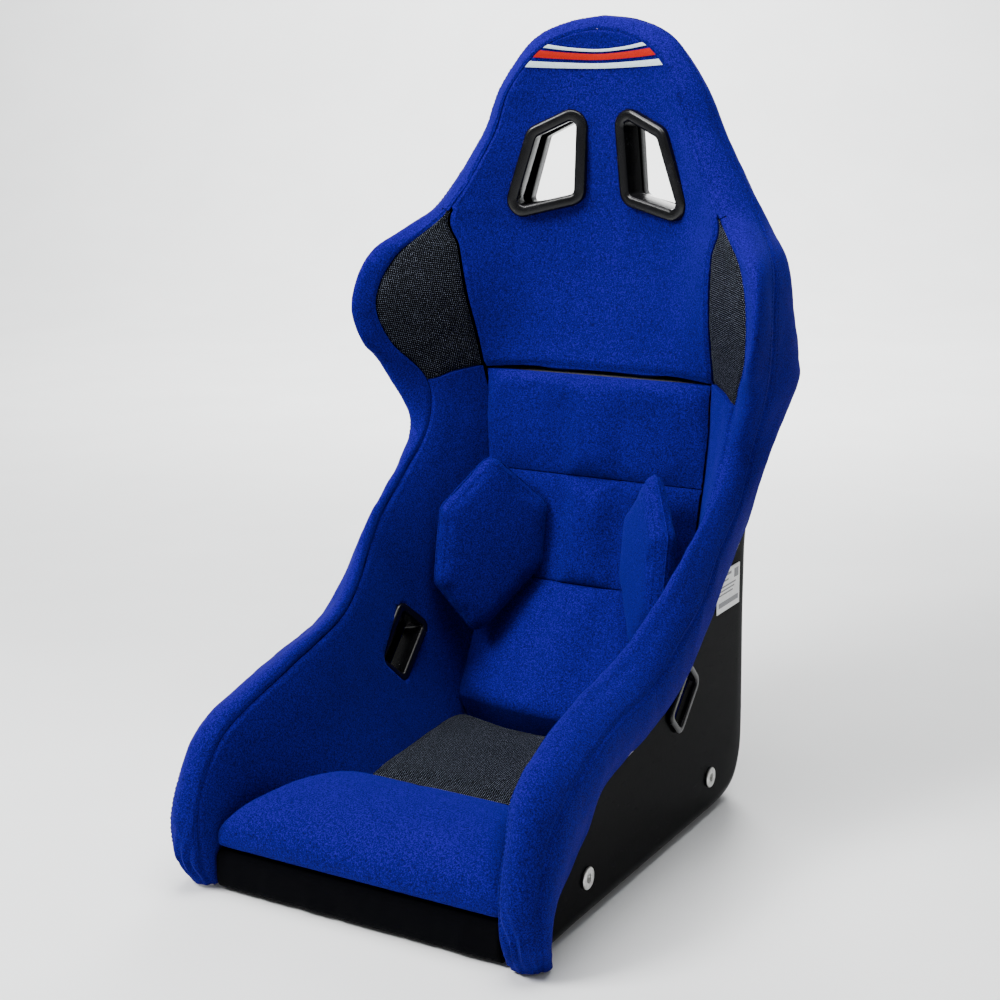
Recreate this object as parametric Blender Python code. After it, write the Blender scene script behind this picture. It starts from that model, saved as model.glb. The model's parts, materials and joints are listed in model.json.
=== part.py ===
"""Fixed-back competition bucket seat: a thin moulded shell with a sewn, padded cover, loose cushions,
moulded belt trims and side-mount inserts. Metres, +Z up, the occupant faces -Y and +X is at their left
hand. The origin is on the floor, midway between the four side inserts."""

import math

import bmesh
import bpy
import numpy as np
from mathutils import Vector
from mathutils.bvhtree import BVHTree

# Shell
SHELL_WALL = 0.005
SIDE_X = 0.1905
# Sewn cover
SEAM_GAP = 0.015
MOST_THICKNESS = 0.18
UPPER_PAD_THICK = 0.015
# Side-mount inserts: 290 mm apart, M8
INSERT_Y = 0.145
INSERT_Z = 0.047
INSERT_BORE_R = 0.0042
INSERT_BARREL_R = 0.0070
INSERT_FLANGE_R = 0.0110
INSERT_FLANGE_T = 0.0025
# Loose parts
BASE_FOAM_TOP = 0.044
CUSHION_UNDERSIDE = 0.0465
TRIM_CLEAR = 0.0006
RING_CORNER_STEPS = 4

# Design lines of the cover on the +X side, listed from the front floor contact, back over the thigh bolster,
# up the waist, round the shoulder wing and over the head. Each row is one section through the cover:
# inner lower edge, inner face, inner seam, crest, outer seam, outer face, hem.
SECTIONS = (
    ((0.166, -0.2545, 0.006), (0.168, -0.259, 0.005), (0.172, -0.262, 0.004), (0.188, -0.265, 0.004),
     (0.203, -0.257, 0.004), (0.207, -0.246, 0.005), (0.199, -0.238, 0.006)),
    ((0.166, -0.2545, 0.030), (0.167, -0.266, 0.032), (0.173, -0.277, 0.034), (0.192, -0.283, 0.036),
     (0.209, -0.272, 0.036), (0.213, -0.258, 0.037), (0.200, -0.247, 0.038)),
    ((0.165, -0.2450, 0.046), (0.167, -0.266, 0.070), (0.172, -0.280, 0.082), (0.192, -0.286, 0.080),
     (0.209, -0.275, 0.077), (0.213, -0.254, 0.070), (0.200, -0.222, 0.060)),
    ((0.152, -0.215, 0.046), (0.162, -0.244, 0.098), (0.170, -0.262, 0.130), (0.190, -0.268, 0.136),
     (0.208, -0.256, 0.120), (0.213, -0.232, 0.106), (0.199, -0.188, 0.084)),
    ((0.128, -0.172, 0.046), (0.148, -0.203, 0.113), (0.163, -0.230, 0.166), (0.186, -0.232, 0.173),
     (0.207, -0.221, 0.152), (0.211, -0.194, 0.131), (0.198, -0.158, 0.104)),
    ((0.098, -0.105, 0.046), (0.131, -0.122, 0.120), (0.159, -0.135, 0.199), (0.181, -0.133, 0.204),
     (0.203, -0.126, 0.188), (0.208, -0.121, 0.165), (0.197, -0.118, 0.136)),
    ((0.100, -0.030, 0.046), (0.135, -0.038, 0.128), (0.163, -0.046, 0.222), (0.186, -0.045, 0.222),
     (0.205, -0.038, 0.204), (0.208, -0.028, 0.180), (0.196, -0.018, 0.155)),
    ((0.112, 0.062, 0.047), (0.144, 0.028, 0.142), (0.170, 0.000, 0.245), (0.193, 0.004, 0.248),
     (0.208, 0.018, 0.231), (0.208, 0.040, 0.204), (0.196, 0.058, 0.180)),
    ((0.120, 0.150, 0.056), (0.151, 0.095, 0.165), (0.182, 0.045, 0.281), (0.201, 0.051, 0.286),
     (0.212, 0.074, 0.269), (0.208, 0.099, 0.243), (0.196, 0.118, 0.225)),
    ((0.126, 0.205, 0.170), (0.157, 0.138, 0.242), (0.188, 0.080, 0.313), (0.202, 0.084, 0.316),
     (0.213, 0.104, 0.304), (0.209, 0.140, 0.292), (0.197, 0.176, 0.279)),
    ((0.132, 0.236, 0.290), (0.161, 0.184, 0.326), (0.190, 0.137, 0.356), (0.203, 0.140, 0.361),
     (0.214, 0.160, 0.352), (0.212, 0.192, 0.343), (0.202, 0.222, 0.332)),
    ((0.139, 0.246, 0.400), (0.165, 0.212, 0.402), (0.187, 0.178, 0.401), (0.204, 0.172, 0.404),
     (0.218, 0.186, 0.408), (0.224, 0.218, 0.405), (0.211, 0.252, 0.400)),
    ((0.147, 0.236, 0.466), (0.171, 0.211, 0.460), (0.194, 0.187, 0.452), (0.226, 0.153, 0.466),
     (0.241, 0.167, 0.472), (0.250, 0.220, 0.475), (0.236, 0.261, 0.470)),
    ((0.149, 0.222, 0.510), (0.184, 0.184, 0.507), (0.219, 0.149, 0.500), (0.240, 0.121, 0.505),
     (0.249, 0.154, 0.510), (0.253, 0.214, 0.506), (0.236, 0.255, 0.503)),
    ((0.153, 0.208, 0.555), (0.191, 0.168, 0.552), (0.228, 0.133, 0.548), (0.248, 0.114, 0.548),
     (0.251, 0.152, 0.550), (0.251, 0.206, 0.548), (0.232, 0.247, 0.545)),
    ((0.158, 0.201, 0.608), (0.185, 0.176, 0.605), (0.212, 0.153, 0.600), (0.235, 0.139, 0.604),
     (0.241, 0.174, 0.606), (0.240, 0.214, 0.606), (0.215, 0.251, 0.604)),
    ((0.165, 0.199, 0.651), (0.167, 0.198, 0.651), (0.170, 0.197, 0.651), (0.188, 0.208, 0.654),
     (0.200, 0.226, 0.654), (0.200, 0.246, 0.652), (0.187, 0.268, 0.650)),
    ((0.100, 0.240, 0.728), (0.114, 0.232, 0.729), (0.127, 0.223, 0.730), (0.141, 0.232, 0.732),
     (0.151, 0.244, 0.732), (0.153, 0.257, 0.731), (0.146, 0.275, 0.730)),
    ((0.080, 0.244, 0.783), (0.094, 0.237, 0.785), (0.106, 0.228, 0.786), (0.116, 0.236, 0.789),
     (0.125, 0.246, 0.791), (0.125, 0.260, 0.790), (0.118, 0.277, 0.788)),
    ((0.050, 0.246, 0.822), (0.061, 0.241, 0.825), (0.073, 0.235, 0.828), (0.081, 0.243, 0.837),
     (0.087, 0.253, 0.841), (0.085, 0.266, 0.839), (0.079, 0.280, 0.833)),
    ((0.024, 0.247, 0.840), (0.031, 0.244, 0.843), (0.038, 0.239, 0.846), (0.042, 0.247, 0.857),
     (0.044, 0.257, 0.861), (0.043, 0.269, 0.860), (0.041, 0.282, 0.853)),
    ((0.000, 0.248, 0.842), (0.000, 0.246, 0.847), (0.000, 0.242, 0.853), (0.000, 0.249, 0.864),
     (0.000, 0.259, 0.867), (0.000, 0.271, 0.866), (0.000, 0.284, 0.859)),
)
INNER_EDGE, INNER_SEAM, HEM = 0, 2, 6
WING_LOW, WING_TOP, HEAD_START, APEX = 12, 16, 16.4, 21
ROLL_SECTIONS = [0.5 * i for i in range(33)]
COVER_THICKNESS = (0.010, 0.010, 0.003, 0.008, 0.008, 0.006, 0.004)

# Centre line and quarter line of the upper back pad, at the sections from the lower wing to the apex.
PAD_CENTRE = (
    (0.000, 0.247, 0.468), (0.000, 0.256, 0.512), (0.000, 0.263, 0.556), (0.000, 0.267, 0.608),
    (0.000, 0.266, 0.655), (0.000, 0.258, 0.732), (0.000, 0.252, 0.786), (0.000, 0.248, 0.823),
    (0.000, 0.245, 0.838), (0.000, 0.242, 0.849),
)
PAD_QUARTER = (
    (0.085, 0.245, 0.468), (0.086, 0.247, 0.511), (0.088, 0.248, 0.556), (0.092, 0.248, 0.608),
    (0.095, 0.246, 0.655), (0.073, 0.248, 0.731), (0.060, 0.245, 0.786), (0.040, 0.243, 0.825),
    (0.020, 0.243, 0.840), (0.000, 0.242, 0.850),
)

# How far out the side pads' backs reach, by section, following the inside of the shell.
PAD_BACK_SECTIONS = (0, 2, 9, 9.5, 10, 10.5, 11, 12)
PAD_BACK_X = (0.1800, 0.1845, 0.1840, 0.1820, 0.1795, 0.1835, 0.1925, 0.2110)

# Free edge of the shell, at the same sections as the cover, tucked under the cover's crest.
SHELL_RIM = (
    (0.188, -0.240, 0.020), (0.190, -0.256, 0.050), (0.191, -0.264, 0.072), (0.191, -0.246, 0.108),
    (0.192, -0.212, 0.146), (0.192, -0.128, 0.178), (0.193, -0.040, 0.196), (0.194, 0.016, 0.222),
    (0.196, 0.062, 0.256), (0.198, 0.102, 0.288), (0.199, 0.154, 0.338), (0.203, 0.190, 0.402),
    (0.226, 0.178, 0.468), (0.236, 0.145, 0.506), (0.239, 0.140, 0.549), (0.226, 0.166, 0.604),
    (0.186, 0.228, 0.652), (0.140, 0.248, 0.730), (0.113, 0.253, 0.785), (0.074, 0.260, 0.826),
    (0.038, 0.264, 0.845), (0.000, 0.266, 0.852),
)
# Rows of the shell, from its front lip along the floor, up the back and over the head:
# (y, z) on the centre line, section number where the row meets the rim, outermost x, corner radius.
SHELL_ROWS = (
    ((-0.249, 0.028), 2.0, SIDE_X, 0.012), ((-0.247, 0.011), 2.4, SIDE_X, 0.014),
    ((-0.236, 0.001), 2.9, SIDE_X, 0.016), ((-0.210, 0.000), 3.4, SIDE_X, 0.018),
    ((-0.160, 0.000), 4.2, SIDE_X, 0.020), ((-0.100, 0.000), 5.0, SIDE_X, 0.020),
    ((-0.030, 0.000), 6.0, SIDE_X, 0.020), ((0.040, 0.000), 6.8, SIDE_X, 0.020),
    ((0.110, 0.000), 7.5, SIDE_X, 0.020), ((0.166, 0.000), 8.1, SIDE_X, 0.020),
    ((0.204, 0.000), 8.6, SIDE_X, 0.025), ((0.226, 0.006), 8.9, SIDE_X, 0.029),
    ((0.240, 0.021), 9.15, SIDE_X, 0.033), ((0.246, 0.045), 9.4, SIDE_X, 0.036),
    ((0.248, 0.110), 9.65, SIDE_X, 0.038), ((0.251, 0.190), 9.9, SIDE_X, 0.039),
    ((0.257, 0.270), 10.3, 0.191, 0.040), ((0.266, 0.340), 10.7, 0.195, 0.042),
    ((0.276, 0.405), 11.1, 0.204, 0.042), ((0.284, 0.470), 12.0, 0.226, 0.050),
    ((0.289, 0.512), 13.0, 0.226, 0.058), ((0.292, 0.556), 14.0, 0.220, 0.060),
    ((0.293, 0.608), 15.0, 0.204, 0.056), ((0.292, 0.655), 16.0, 0.181, 0.042),
    ((0.290, 0.694), 16.5, 0.160, 0.030), ((0.288, 0.732), 17.0, 0.139, 0.020),
    ((0.285, 0.788), 18.0, 0.111, 0.018), ((0.282, 0.824), 19.0, 0.072, 0.014),
    ((0.279, 0.843), 20.0, 0.036, 0.008), ((0.275, 0.852), 21.0, 0.000, 0.000),
)

# Side view of the loose back cushions' face and of the lining behind them, (y, z) from the bottom up.
BACK_FACE = (
    (0.110, 0.088), (0.142, 0.130), (0.172, 0.175), (0.200, 0.222), (0.217, 0.285), (0.225, 0.345),
    (0.230, 0.405), (0.234, 0.462),
)
BACK_LINING = (
    (0.150, 0.050), (0.174, 0.100), (0.202, 0.160), (0.226, 0.222), (0.240, 0.285), (0.246, 0.345),
    (0.250, 0.405), (0.253, 0.462),
)
BACK_CUSHIONS = (("lower", 0.0, 3.0), ("middle", 3.0, 5.0), ("upper", 5.0, 7.0))
CUSHION_GAP = 0.003
SEAM_RECESS = 0.008
CROWN = 0.004
# Top line of the mesh seat cushion and of the blue thigh cushion in front of it, (y, z).
SEAT_TOP = (
    (-0.0985, 0.064), (-0.0950, 0.073), (-0.0850, 0.079), (-0.0500, 0.083), (0.0100, 0.084),
    (0.0650, 0.083), (0.0950, 0.080), (0.1040, 0.074), (0.1070, 0.064),
)
THIGH_TOP = (
    (-0.2640, 0.058), (-0.2630, 0.070), (-0.2560, 0.083), (-0.2350, 0.094), (-0.2050, 0.1005),
    (-0.1750, 0.102), (-0.1400, 0.097), (-0.1150, 0.089), (-0.1040, 0.080), (-0.1005, 0.070),
)
SEAT_REAR_CURVE = 0.019
# Kidney pad: centre of its face, how far it is turned inwards, and its outline (outwards, up).
KIDNEY_CENTRE = (0.0940, 0.1670, 0.2720)
KIDNEY_TURN = math.radians(48.0)
KIDNEY_UP = (0.0, 0.18, 0.98)
KIDNEY_HALF_WIDTH = 0.0655
KIDNEY_OUTLINE = (
    (0.010, 0.105), (KIDNEY_HALF_WIDTH, 0.045), (KIDNEY_HALF_WIDTH, -0.044), (0.008, -0.112),
    (-KIDNEY_HALF_WIDTH, -0.035), (-KIDNEY_HALF_WIDTH, 0.042),
)
KIDNEY_CORNER = 0.016
KIDNEY_DIP = 0.011
# Label on the shell's left side wall, and the stripes across the head, as plain bands.
LABEL_Y = (0.156, 0.217)
LABEL_Z = (0.227, 0.273)
STRIPES = (("upper", "stripe_pale", 19.20, 19.36), ("middle", "stripe_red", 18.84, 19.08),
           ("lower", "stripe_pale", 18.56, 18.72))

MATERIALS = {
    "blue_felt": ((0.020, 0.045, 0.300, 1.0), 0.85, 0.0),
    "black_mesh": ((0.012, 0.013, 0.015, 1.0), 0.80, 0.0),
    "black_cloth": ((0.010, 0.010, 0.012, 1.0), 0.85, 0.0),
    "gloss_shell": ((0.006, 0.006, 0.007, 1.0), 0.22, 0.0),
    "moulded_trim": ((0.010, 0.010, 0.011, 1.0), 0.35, 0.0),
    "zinc_steel": ((0.620, 0.620, 0.600, 1.0), 0.35, 1.0),
    "label_white": ((0.850, 0.850, 0.840, 1.0), 0.50, 0.0),
    "stripe_pale": ((0.700, 0.740, 0.780, 1.0), 0.60, 0.0),
    "stripe_red": ((0.550, 0.030, 0.020, 1.0), 0.60, 0.0),
    "hook_tape": ((0.015, 0.015, 0.016, 1.0), 0.90, 0.0),
    "grey_foam": ((0.060, 0.060, 0.065, 1.0), 0.95, 0.0),
}


def clear_scene():
    for old in list(bpy.data.objects):
        bpy.data.objects.remove(old, do_unlink=True)


def material(name):
    found = bpy.data.materials.get(name)
    if found:
        return found
    colour, roughness, metallic = MATERIALS[name]
    made = bpy.data.materials.new(name)
    made.use_nodes = True
    shader = made.node_tree.nodes["Principled BSDF"]
    shader.inputs["Base Color"].default_value = colour
    shader.inputs["Roughness"].default_value = roughness
    shader.inputs["Metallic"].default_value = metallic
    made.diffuse_color = colour
    return made


def add_object(name, points, faces, look, smooth=True, origin=(0.0, 0.0, 0.0)):
    """One closed body from its points and faces, welded, with its faces turned outwards."""
    origin = np.array(origin, float)
    mesh = bpy.data.meshes.new(name)
    mesh.from_pydata([tuple(p) for p in np.asarray(points, float) - origin], [], faces)
    work = bmesh.new()
    work.from_mesh(mesh)
    bmesh.ops.remove_doubles(work, verts=work.verts, dist=1e-5)
    bmesh.ops.dissolve_degenerate(work, edges=work.edges, dist=1e-6)
    bmesh.ops.recalc_face_normals(work, faces=work.faces)
    if work.calc_volume(signed=True) < 0:
        bmesh.ops.reverse_faces(work, faces=work.faces)
    work.to_mesh(mesh)
    work.free()
    for polygon in mesh.polygons:
        polygon.use_smooth = smooth
    made = bpy.data.objects.new(name, mesh)
    made.location = origin
    bpy.context.scene.collection.objects.link(made)
    mesh.materials.append(material(look))
    return made


def spline(points, at):
    """Catmull-Rom curve through the points, read at a number counted in points."""
    points = np.asarray(points, float)
    last = len(points) - 1
    at = min(max(at, 0.0), float(last))
    i = min(int(at), last - 1)
    t = at - i
    p1, p2 = points[i], points[i + 1]
    p0 = points[i - 1] if i > 0 else 2 * p1 - p2
    p3 = points[i + 2] if i + 2 <= last else 2 * p2 - p1
    return 0.5 * (
        2 * p1 + (p2 - p0) * t + (2 * p0 - 5 * p1 + 4 * p2 - p3) * t**2 + (3 * p1 - p0 - 3 * p2 + p3) * t**3
    )


def section_at(s):
    return np.array([spline([row[q] for row in SECTIONS], s) for q in range(len(SECTIONS[0]))])


def cover_point(s, q):
    return spline(section_at(s), q)


def cover_normal(s, q):
    """Outward normal of the cover, away from the shell, by central differences."""
    step = 0.02
    low, high = max(s - step, 0.0), min(s + step, float(APEX))
    along = cover_point(high, q) - cover_point(low, q)
    left, right = max(q - step, 0.0), min(q + step, float(HEM))
    across = cover_point(s, right) - cover_point(s, left)
    normal = np.cross(across, along)
    if s > APEX - step:
        normal[0] = 0.0
    return normal / np.linalg.norm(normal)


def steps(start, stop, count):
    return [start + (stop - start) * i / (count - 1) for i in range(count)]


def grid_faces(rows, cols, offset=0, flip=False):
    faces = []
    for i in range(rows - 1):
        for j in range(cols - 1):
            a = offset + i * cols + j
            face = (a, a + 1, a + cols + 1, a + cols)
            faces.append(face[::-1] if flip else face)
    return faces


def ring_of(rows, cols):
    """Indices round the border of a grid."""
    border = [(0, j) for j in range(cols)]
    border += [(i, cols - 1) for i in range(1, rows)]
    border += [(rows - 1, j) for j in range(cols - 2, -1, -1)]
    border += [(i, 0) for i in range(rows - 2, 0, -1)]
    return [i * cols + j for i, j in border]


def body_between(front, back):
    """Points and faces of the closed body between two grids of the same size."""
    rows, cols = front.shape[:2]
    count = rows * cols
    points = np.concatenate([front.reshape(-1, 3), back.reshape(-1, 3)])
    faces = grid_faces(rows, cols) + grid_faces(rows, cols, count, flip=True)
    ring = ring_of(rows, cols)
    for a, b in zip(ring, ring[1:] + ring[:1]):
        faces.append((b, a, a + count, b + count))
    return points, faces


def mirrored(points, side):
    points = np.array(points, float)
    if side < 0:
        points[..., 0] *= -1
    return points


def both_sides(half):
    """Full-width grid from one whose first column is on the centre plane."""
    other = half[:, :0:-1].copy()
    other[..., 0] *= -1
    return np.concatenate([other, half], axis=1)


def cover_slab(name, side, s_list, q_list, look):
    front = np.array([[cover_point(s, q) for q in q_list] for s in s_list])
    thick = np.interp(q_list, range(len(COVER_THICKNESS)), COVER_THICKNESS)
    back = front.copy()
    for i, s in enumerate(s_list):
        most = MOST_THICKNESS * np.linalg.norm(front[i, -1] - front[i, 0])
        for j, q in enumerate(q_list):
            back[i, j] -= cover_normal(s, q) * min(thick[j], most)
    points, faces = body_between(mirrored(front, side), mirrored(back, side))
    return add_object(name, points, faces, look)


def side_name(side):
    return "left" if side > 0 else "right"


def rounded_outline(corners, radius, grow=0.0):
    """Closed outline of a convex polygon with rounded corners, moved outwards by grow."""
    corners = [np.array(c, float) for c in corners]
    outline = []
    for i, corner in enumerate(corners):
        before = corners[i - 1] - corner
        after = corners[(i + 1) % len(corners)] - corner
        before /= np.linalg.norm(before)
        after /= np.linalg.norm(after)
        half_angle = math.acos(float(np.clip(before @ after, -1, 1))) / 2
        inward = before + after
        inward /= np.linalg.norm(inward)
        centre = corner + inward * radius / math.sin(half_angle)
        middle = math.atan2(-inward[1], -inward[0])
        sweep = math.pi / 2 - half_angle
        turn = 1.0 if before[0] * after[1] - before[1] * after[0] < 0 else -1.0
        for k in range(RING_CORNER_STEPS):
            angle = middle + turn * sweep * (2 * k / (RING_CORNER_STEPS - 1) - 1)
            outline.append(centre + (radius + grow) * np.array([math.cos(angle), math.sin(angle)]))
    return np.array(outline)


def plane_frame(origin, normal, up):
    normal = np.array(normal, float) / np.linalg.norm(normal)
    up = np.array(up, float)
    up = up - (up @ normal) * normal
    up /= np.linalg.norm(up)
    right = np.cross(up, normal)
    return np.array(origin, float), right, up, normal


def place(frame, flat, height):
    origin, right, up, normal = frame
    return origin + flat[..., :1] * right + flat[..., 1:2] * up + height * normal


def loop_body(name, loops, look, side=1, closed=False, origin=(0.0, 0.0, 0.0)):
    """Body through a row of equal loops, joined last to first when closed, otherwise capped at both ends."""
    count = len(loops[0])
    points = mirrored(np.concatenate(loops), side)
    faces = []
    for k in range(len(loops) if closed else len(loops) - 1):
        after = (k + 1) % len(loops)
        for i in range(count):
            j = (i + 1) % count
            faces.append((k * count + i, k * count + j, after * count + j, after * count + i))
    if not closed:
        last = (len(loops) - 1) * count
        faces.append(tuple(range(count)))
        faces.append(tuple(range(last, last + count)))
    return add_object(name, points, faces, look, origin=origin)


def trim_ring(name, frame, corners, radius, profile, side=1):
    """Moulded ring swept round an outline; profile is a closed loop of (outward offset, height)."""
    loops = [place(frame, rounded_outline(corners, radius, grow), height) for grow, height in profile]
    return loop_body(name, loops, "moulded_trim", side, closed=True)


def prism_cutter(name, frame, corners, radius, grow, low, high, side=1):
    outline = rounded_outline(corners, radius, grow)
    count = len(outline)
    points = np.concatenate([mirrored(place(frame, outline, h), side) for h in (low, high)])
    faces = [tuple(range(count)), tuple(range(2 * count - 1, count - 1, -1))]
    for i in range(count):
        j = (i + 1) % count
        faces.append((i, j, count + j, count + i))
    made = add_object(name, points, faces, "moulded_trim", smooth=False)
    made.hide_render = True
    made.display_type = "WIRE"
    return made


def round_cutter(name, x, y, z, radius, length):
    turned = [(math.cos(a), math.sin(a)) for a in steps(0, 2 * math.pi, 25)[:-1]]
    ends = (-length / 2, length / 2)
    points = [(x + dx, y + radius * c, z + radius * s) for dx in ends for c, s in turned]
    count = len(turned)
    faces = [tuple(range(count)), tuple(range(count, 2 * count))]
    faces += [(i, (i + 1) % count, count + (i + 1) % count, count + i) for i in range(count)]
    made = add_object(name, points, faces, "moulded_trim", smooth=False)
    made.hide_render = True
    made.display_type = "WIRE"
    return made


def cut(target, cutter):
    boolean = target.modifiers.new("cut_" + cutter.name, "BOOLEAN")
    boolean.operation = "DIFFERENCE"
    boolean.solver = "EXACT"
    boolean.object = cutter


def make_shell():
    half = []
    for (y, z), s, widest, radius in SHELL_ROWS:
        foot = np.array([0.0, y, z])
        rim = spline(SHELL_RIM, s)
        flat = widest - radius
        toward = np.array([0.0, rim[1] - y, rim[2] - z])
        toward /= max(np.linalg.norm(toward), 1e-9)
        row = [foot, foot + [flat * 0.5, 0, 0], foot + [flat, 0, 0]]
        for angle in (30, 60, 90):
            a = math.radians(angle)
            row.append(foot + [flat + radius * math.sin(a), 0, 0] + toward * radius * (1 - math.cos(a)))
        start = row[-1]
        flare = 4 if s >= WING_LOW else 12
        for share in (0.40, 0.80):
            middle = start + (rim - start) * share
            middle[0] = start[0] + (rim[0] - start[0]) * share**flare
            row.append(middle)
        row.append(rim)
        half.append(row)
    full = both_sides(np.array(half))
    rows, cols = full.shape[:2]
    sheet = bpy.data.meshes.new("shell_sheet")
    sheet.from_pydata([tuple(p) for p in full.reshape(-1, 3)], [], grid_faces(rows, cols))
    work = bmesh.new()
    work.from_mesh(sheet)
    bmesh.ops.remove_doubles(work, verts=work.verts, dist=1e-5)
    bmesh.ops.dissolve_degenerate(work, edges=work.edges, dist=1e-6)
    work.normal_update()
    probe = max(work.faces, key=lambda face: -face.calc_center_median().z)
    if probe.normal.z > 0:
        bmesh.ops.reverse_faces(work, faces=work.faces)
    work.to_mesh(sheet)
    work.free()
    for polygon in sheet.polygons:
        polygon.use_smooth = True
    shell = bpy.data.objects.new("seat_shell", sheet)
    bpy.context.scene.collection.objects.link(shell)
    sheet.materials.append(material("gloss_shell"))
    wall = shell.modifiers.new("wall", "SOLIDIFY")
    wall.thickness = SHELL_WALL
    wall.offset = -1.0
    wall.use_even_offset = False
    return shell


def make_cover():
    """The sewn cover: thigh-to-shoulder rolls, the head cover, side pads and mesh shoulder inserts."""
    s_roll = ROLL_SECTIONS + [HEAD_START - 0.008]
    q_roll = [INNER_SEAM + SEAM_GAP, 2.4, 2.75, 3.2, 3.6, 4.0, 4.5, 5.2, HEM]
    pads = {}
    for side in (1, -1):
        tag = side_name(side)
        cover_slab("rim_roll_" + tag, side, s_roll, q_roll, "blue_felt")
        between = [s for s in ROLL_SECTIONS if WING_LOW < s < WING_TOP]
        s_mesh = [WING_LOW + 0.02] + between + [WING_TOP - 0.06]
        q_mesh = steps(0.03, INNER_SEAM - 3 * SEAM_GAP, 5)
        cover_slab("shoulder_mesh_" + tag, side, s_mesh, q_mesh, "black_mesh")
        pads[side] = make_side_pad(side)
    make_head_cover()
    return pads


def make_head_cover():
    s_list = steps(HEAD_START + 0.008, APEX, 13)
    q_list = [INNER_SEAM + SEAM_GAP, 2.5, 3.0, 3.6, 4.3, 5.1, HEM]
    thick = np.interp(q_list, range(len(COVER_THICKNESS)), COVER_THICKNESS) * 0.75
    front = np.array([[cover_point(s, q) for q in q_list] for s in s_list])
    inward = np.array([[-cover_normal(s, q) * t for q, t in zip(q_list, thick)] for s in s_list])
    back = front + inward
    halves = []
    for grid in (front, back):
        other = grid[-2::-1].copy()
        other[..., 0] *= -1
        halves.append(np.concatenate([grid, other], axis=0))
    points, faces = body_between(*halves)
    return add_object("head_cover", points, faces, "blue_felt")


def make_side_pad(side):
    """Foam side pad: its sewn face inside, its flat back against the shell's side wall."""
    s_list = [s for s in ROLL_SECTIONS if s < WING_LOW] + [WING_LOW - 0.02]
    q_list = steps(INNER_EDGE, INNER_SEAM - SEAM_GAP, 6)
    back_x = np.interp(s_list, PAD_BACK_SECTIONS, PAD_BACK_X)
    drop = np.interp(s_list, (0, 3, 5, 12), (0.026, 0.024, 0.036, 0.036))
    front = np.array([[cover_point(s, q) for q in q_list] for s in s_list])
    back = front.copy()
    for i, s in enumerate(s_list):
        rise = front[i, -1] - front[i, 0]
        rise[0] = 0.0
        rise /= np.linalg.norm(rise)
        for j, q in enumerate(q_list):
            share = (q - q_list[0]) / (q_list[-1] - q_list[0])
            back[i, j] = front[i, j] - rise * drop[i] * share
            back[i, j, 0] = back_x[i]
    points, faces = body_between(mirrored(front, side), mirrored(back, side))
    return add_object("side_pad_" + side_name(side), points, faces, "blue_felt")


def pad_edge(s):
    """Outer edge of the upper back pad: beside the mesh inserts, then along the head's inner seam."""
    if s <= WING_TOP:
        return cover_point(s, INNER_EDGE)
    return cover_point(s, INNER_SEAM)


def pad_point(s, u):
    """Face of the upper back pad at section s; u runs from 0 on the centre line to 1 at the edge."""
    centre = spline(PAD_CENTRE, s - WING_LOW)
    quarter = spline(PAD_QUARTER, s - WING_LOW)
    edge = pad_edge(s)
    outer = 2 * edge - quarter
    inner = quarter * [-1, 1, 1]
    return spline([inner, centre, quarter, edge, outer], 1 + 2 * u)


def pad_normal(s, u):
    step = 0.02
    low, high = max(s - step, WING_LOW), min(s + step, float(APEX))
    along = pad_point(high, u) - pad_point(low, u)
    across = pad_point(s, min(u + step, 1.0)) - pad_point(s, max(u - step, 0.0))
    normal = np.cross(across, along)
    if u < step or s > APEX - 0.5:
        normal[0] = 0.0
    return normal / np.linalg.norm(normal)


def make_upper_pad():
    s_list = steps(WING_LOW + 0.02, APEX - 0.5, 16)
    u_list = steps(0.0, 0.975, 7)
    front = np.array([[pad_point(s, u) for u in u_list] for s in s_list])
    back = front.copy()
    for i, s in enumerate(s_list):
        for j, u in enumerate(u_list):
            thick = UPPER_PAD_THICK * (1 - 0.7 * max(0.0, (s - 16) / 5)) * (1 - 0.35 * u**3)
            if s > WING_TOP:
                thick *= 1 - 0.6 * u**3
            normal = pad_normal(s, u)
            if s > WING_TOP and u > 0.9:
                normal = cover_normal(s, INNER_SEAM)
            back[i, j] = front[i, j] - normal * thick
    points, faces = body_between(both_sides(front), both_sides(back))
    return add_object("upper_back_pad", points, faces, "blue_felt")


# Shoulder-belt opening: corners in the plane of its front flange (across, up), that plane, and the plane
# of its rear flange on the back of the shell.
BELT_FRAME = plane_frame((0.062, 0.247, 0.703), (-0.255, -1.0, -0.07), (0.0, 0.0, 1.0))
BELT_REAR = plane_frame((0.0685, 0.2925, 0.703), (0.0, -1.0, -0.045), (0.0, 0.0, 1.0))
BELT_OUTER = ((-0.047, 0.073), (0.026, 0.040), (0.062, -0.069), (-0.041, -0.045))
BELT_CORNER = 0.020
BELT_FRONT_PROFILE = (
    (-0.0135, -0.0230), (-0.0135, 0.0010), (-0.0105, 0.0035), (-0.0030, 0.0035), (0.0000, 0.0010),
    (0.0000, -0.0040), (-0.0100, -0.0060), (-0.0100, -0.0230),
)
BELT_REAR_PROFILE = (
    (-0.0135, 0.0100), (-0.0135, -0.0020), (-0.0115, -0.0034), (-0.0025, -0.0034), (0.0000, -0.0020),
    (0.0000, -0.0003), (-0.0100, -0.0003), (-0.0100, 0.0100),
)
BELT_SLEEVE = -0.0100
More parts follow.
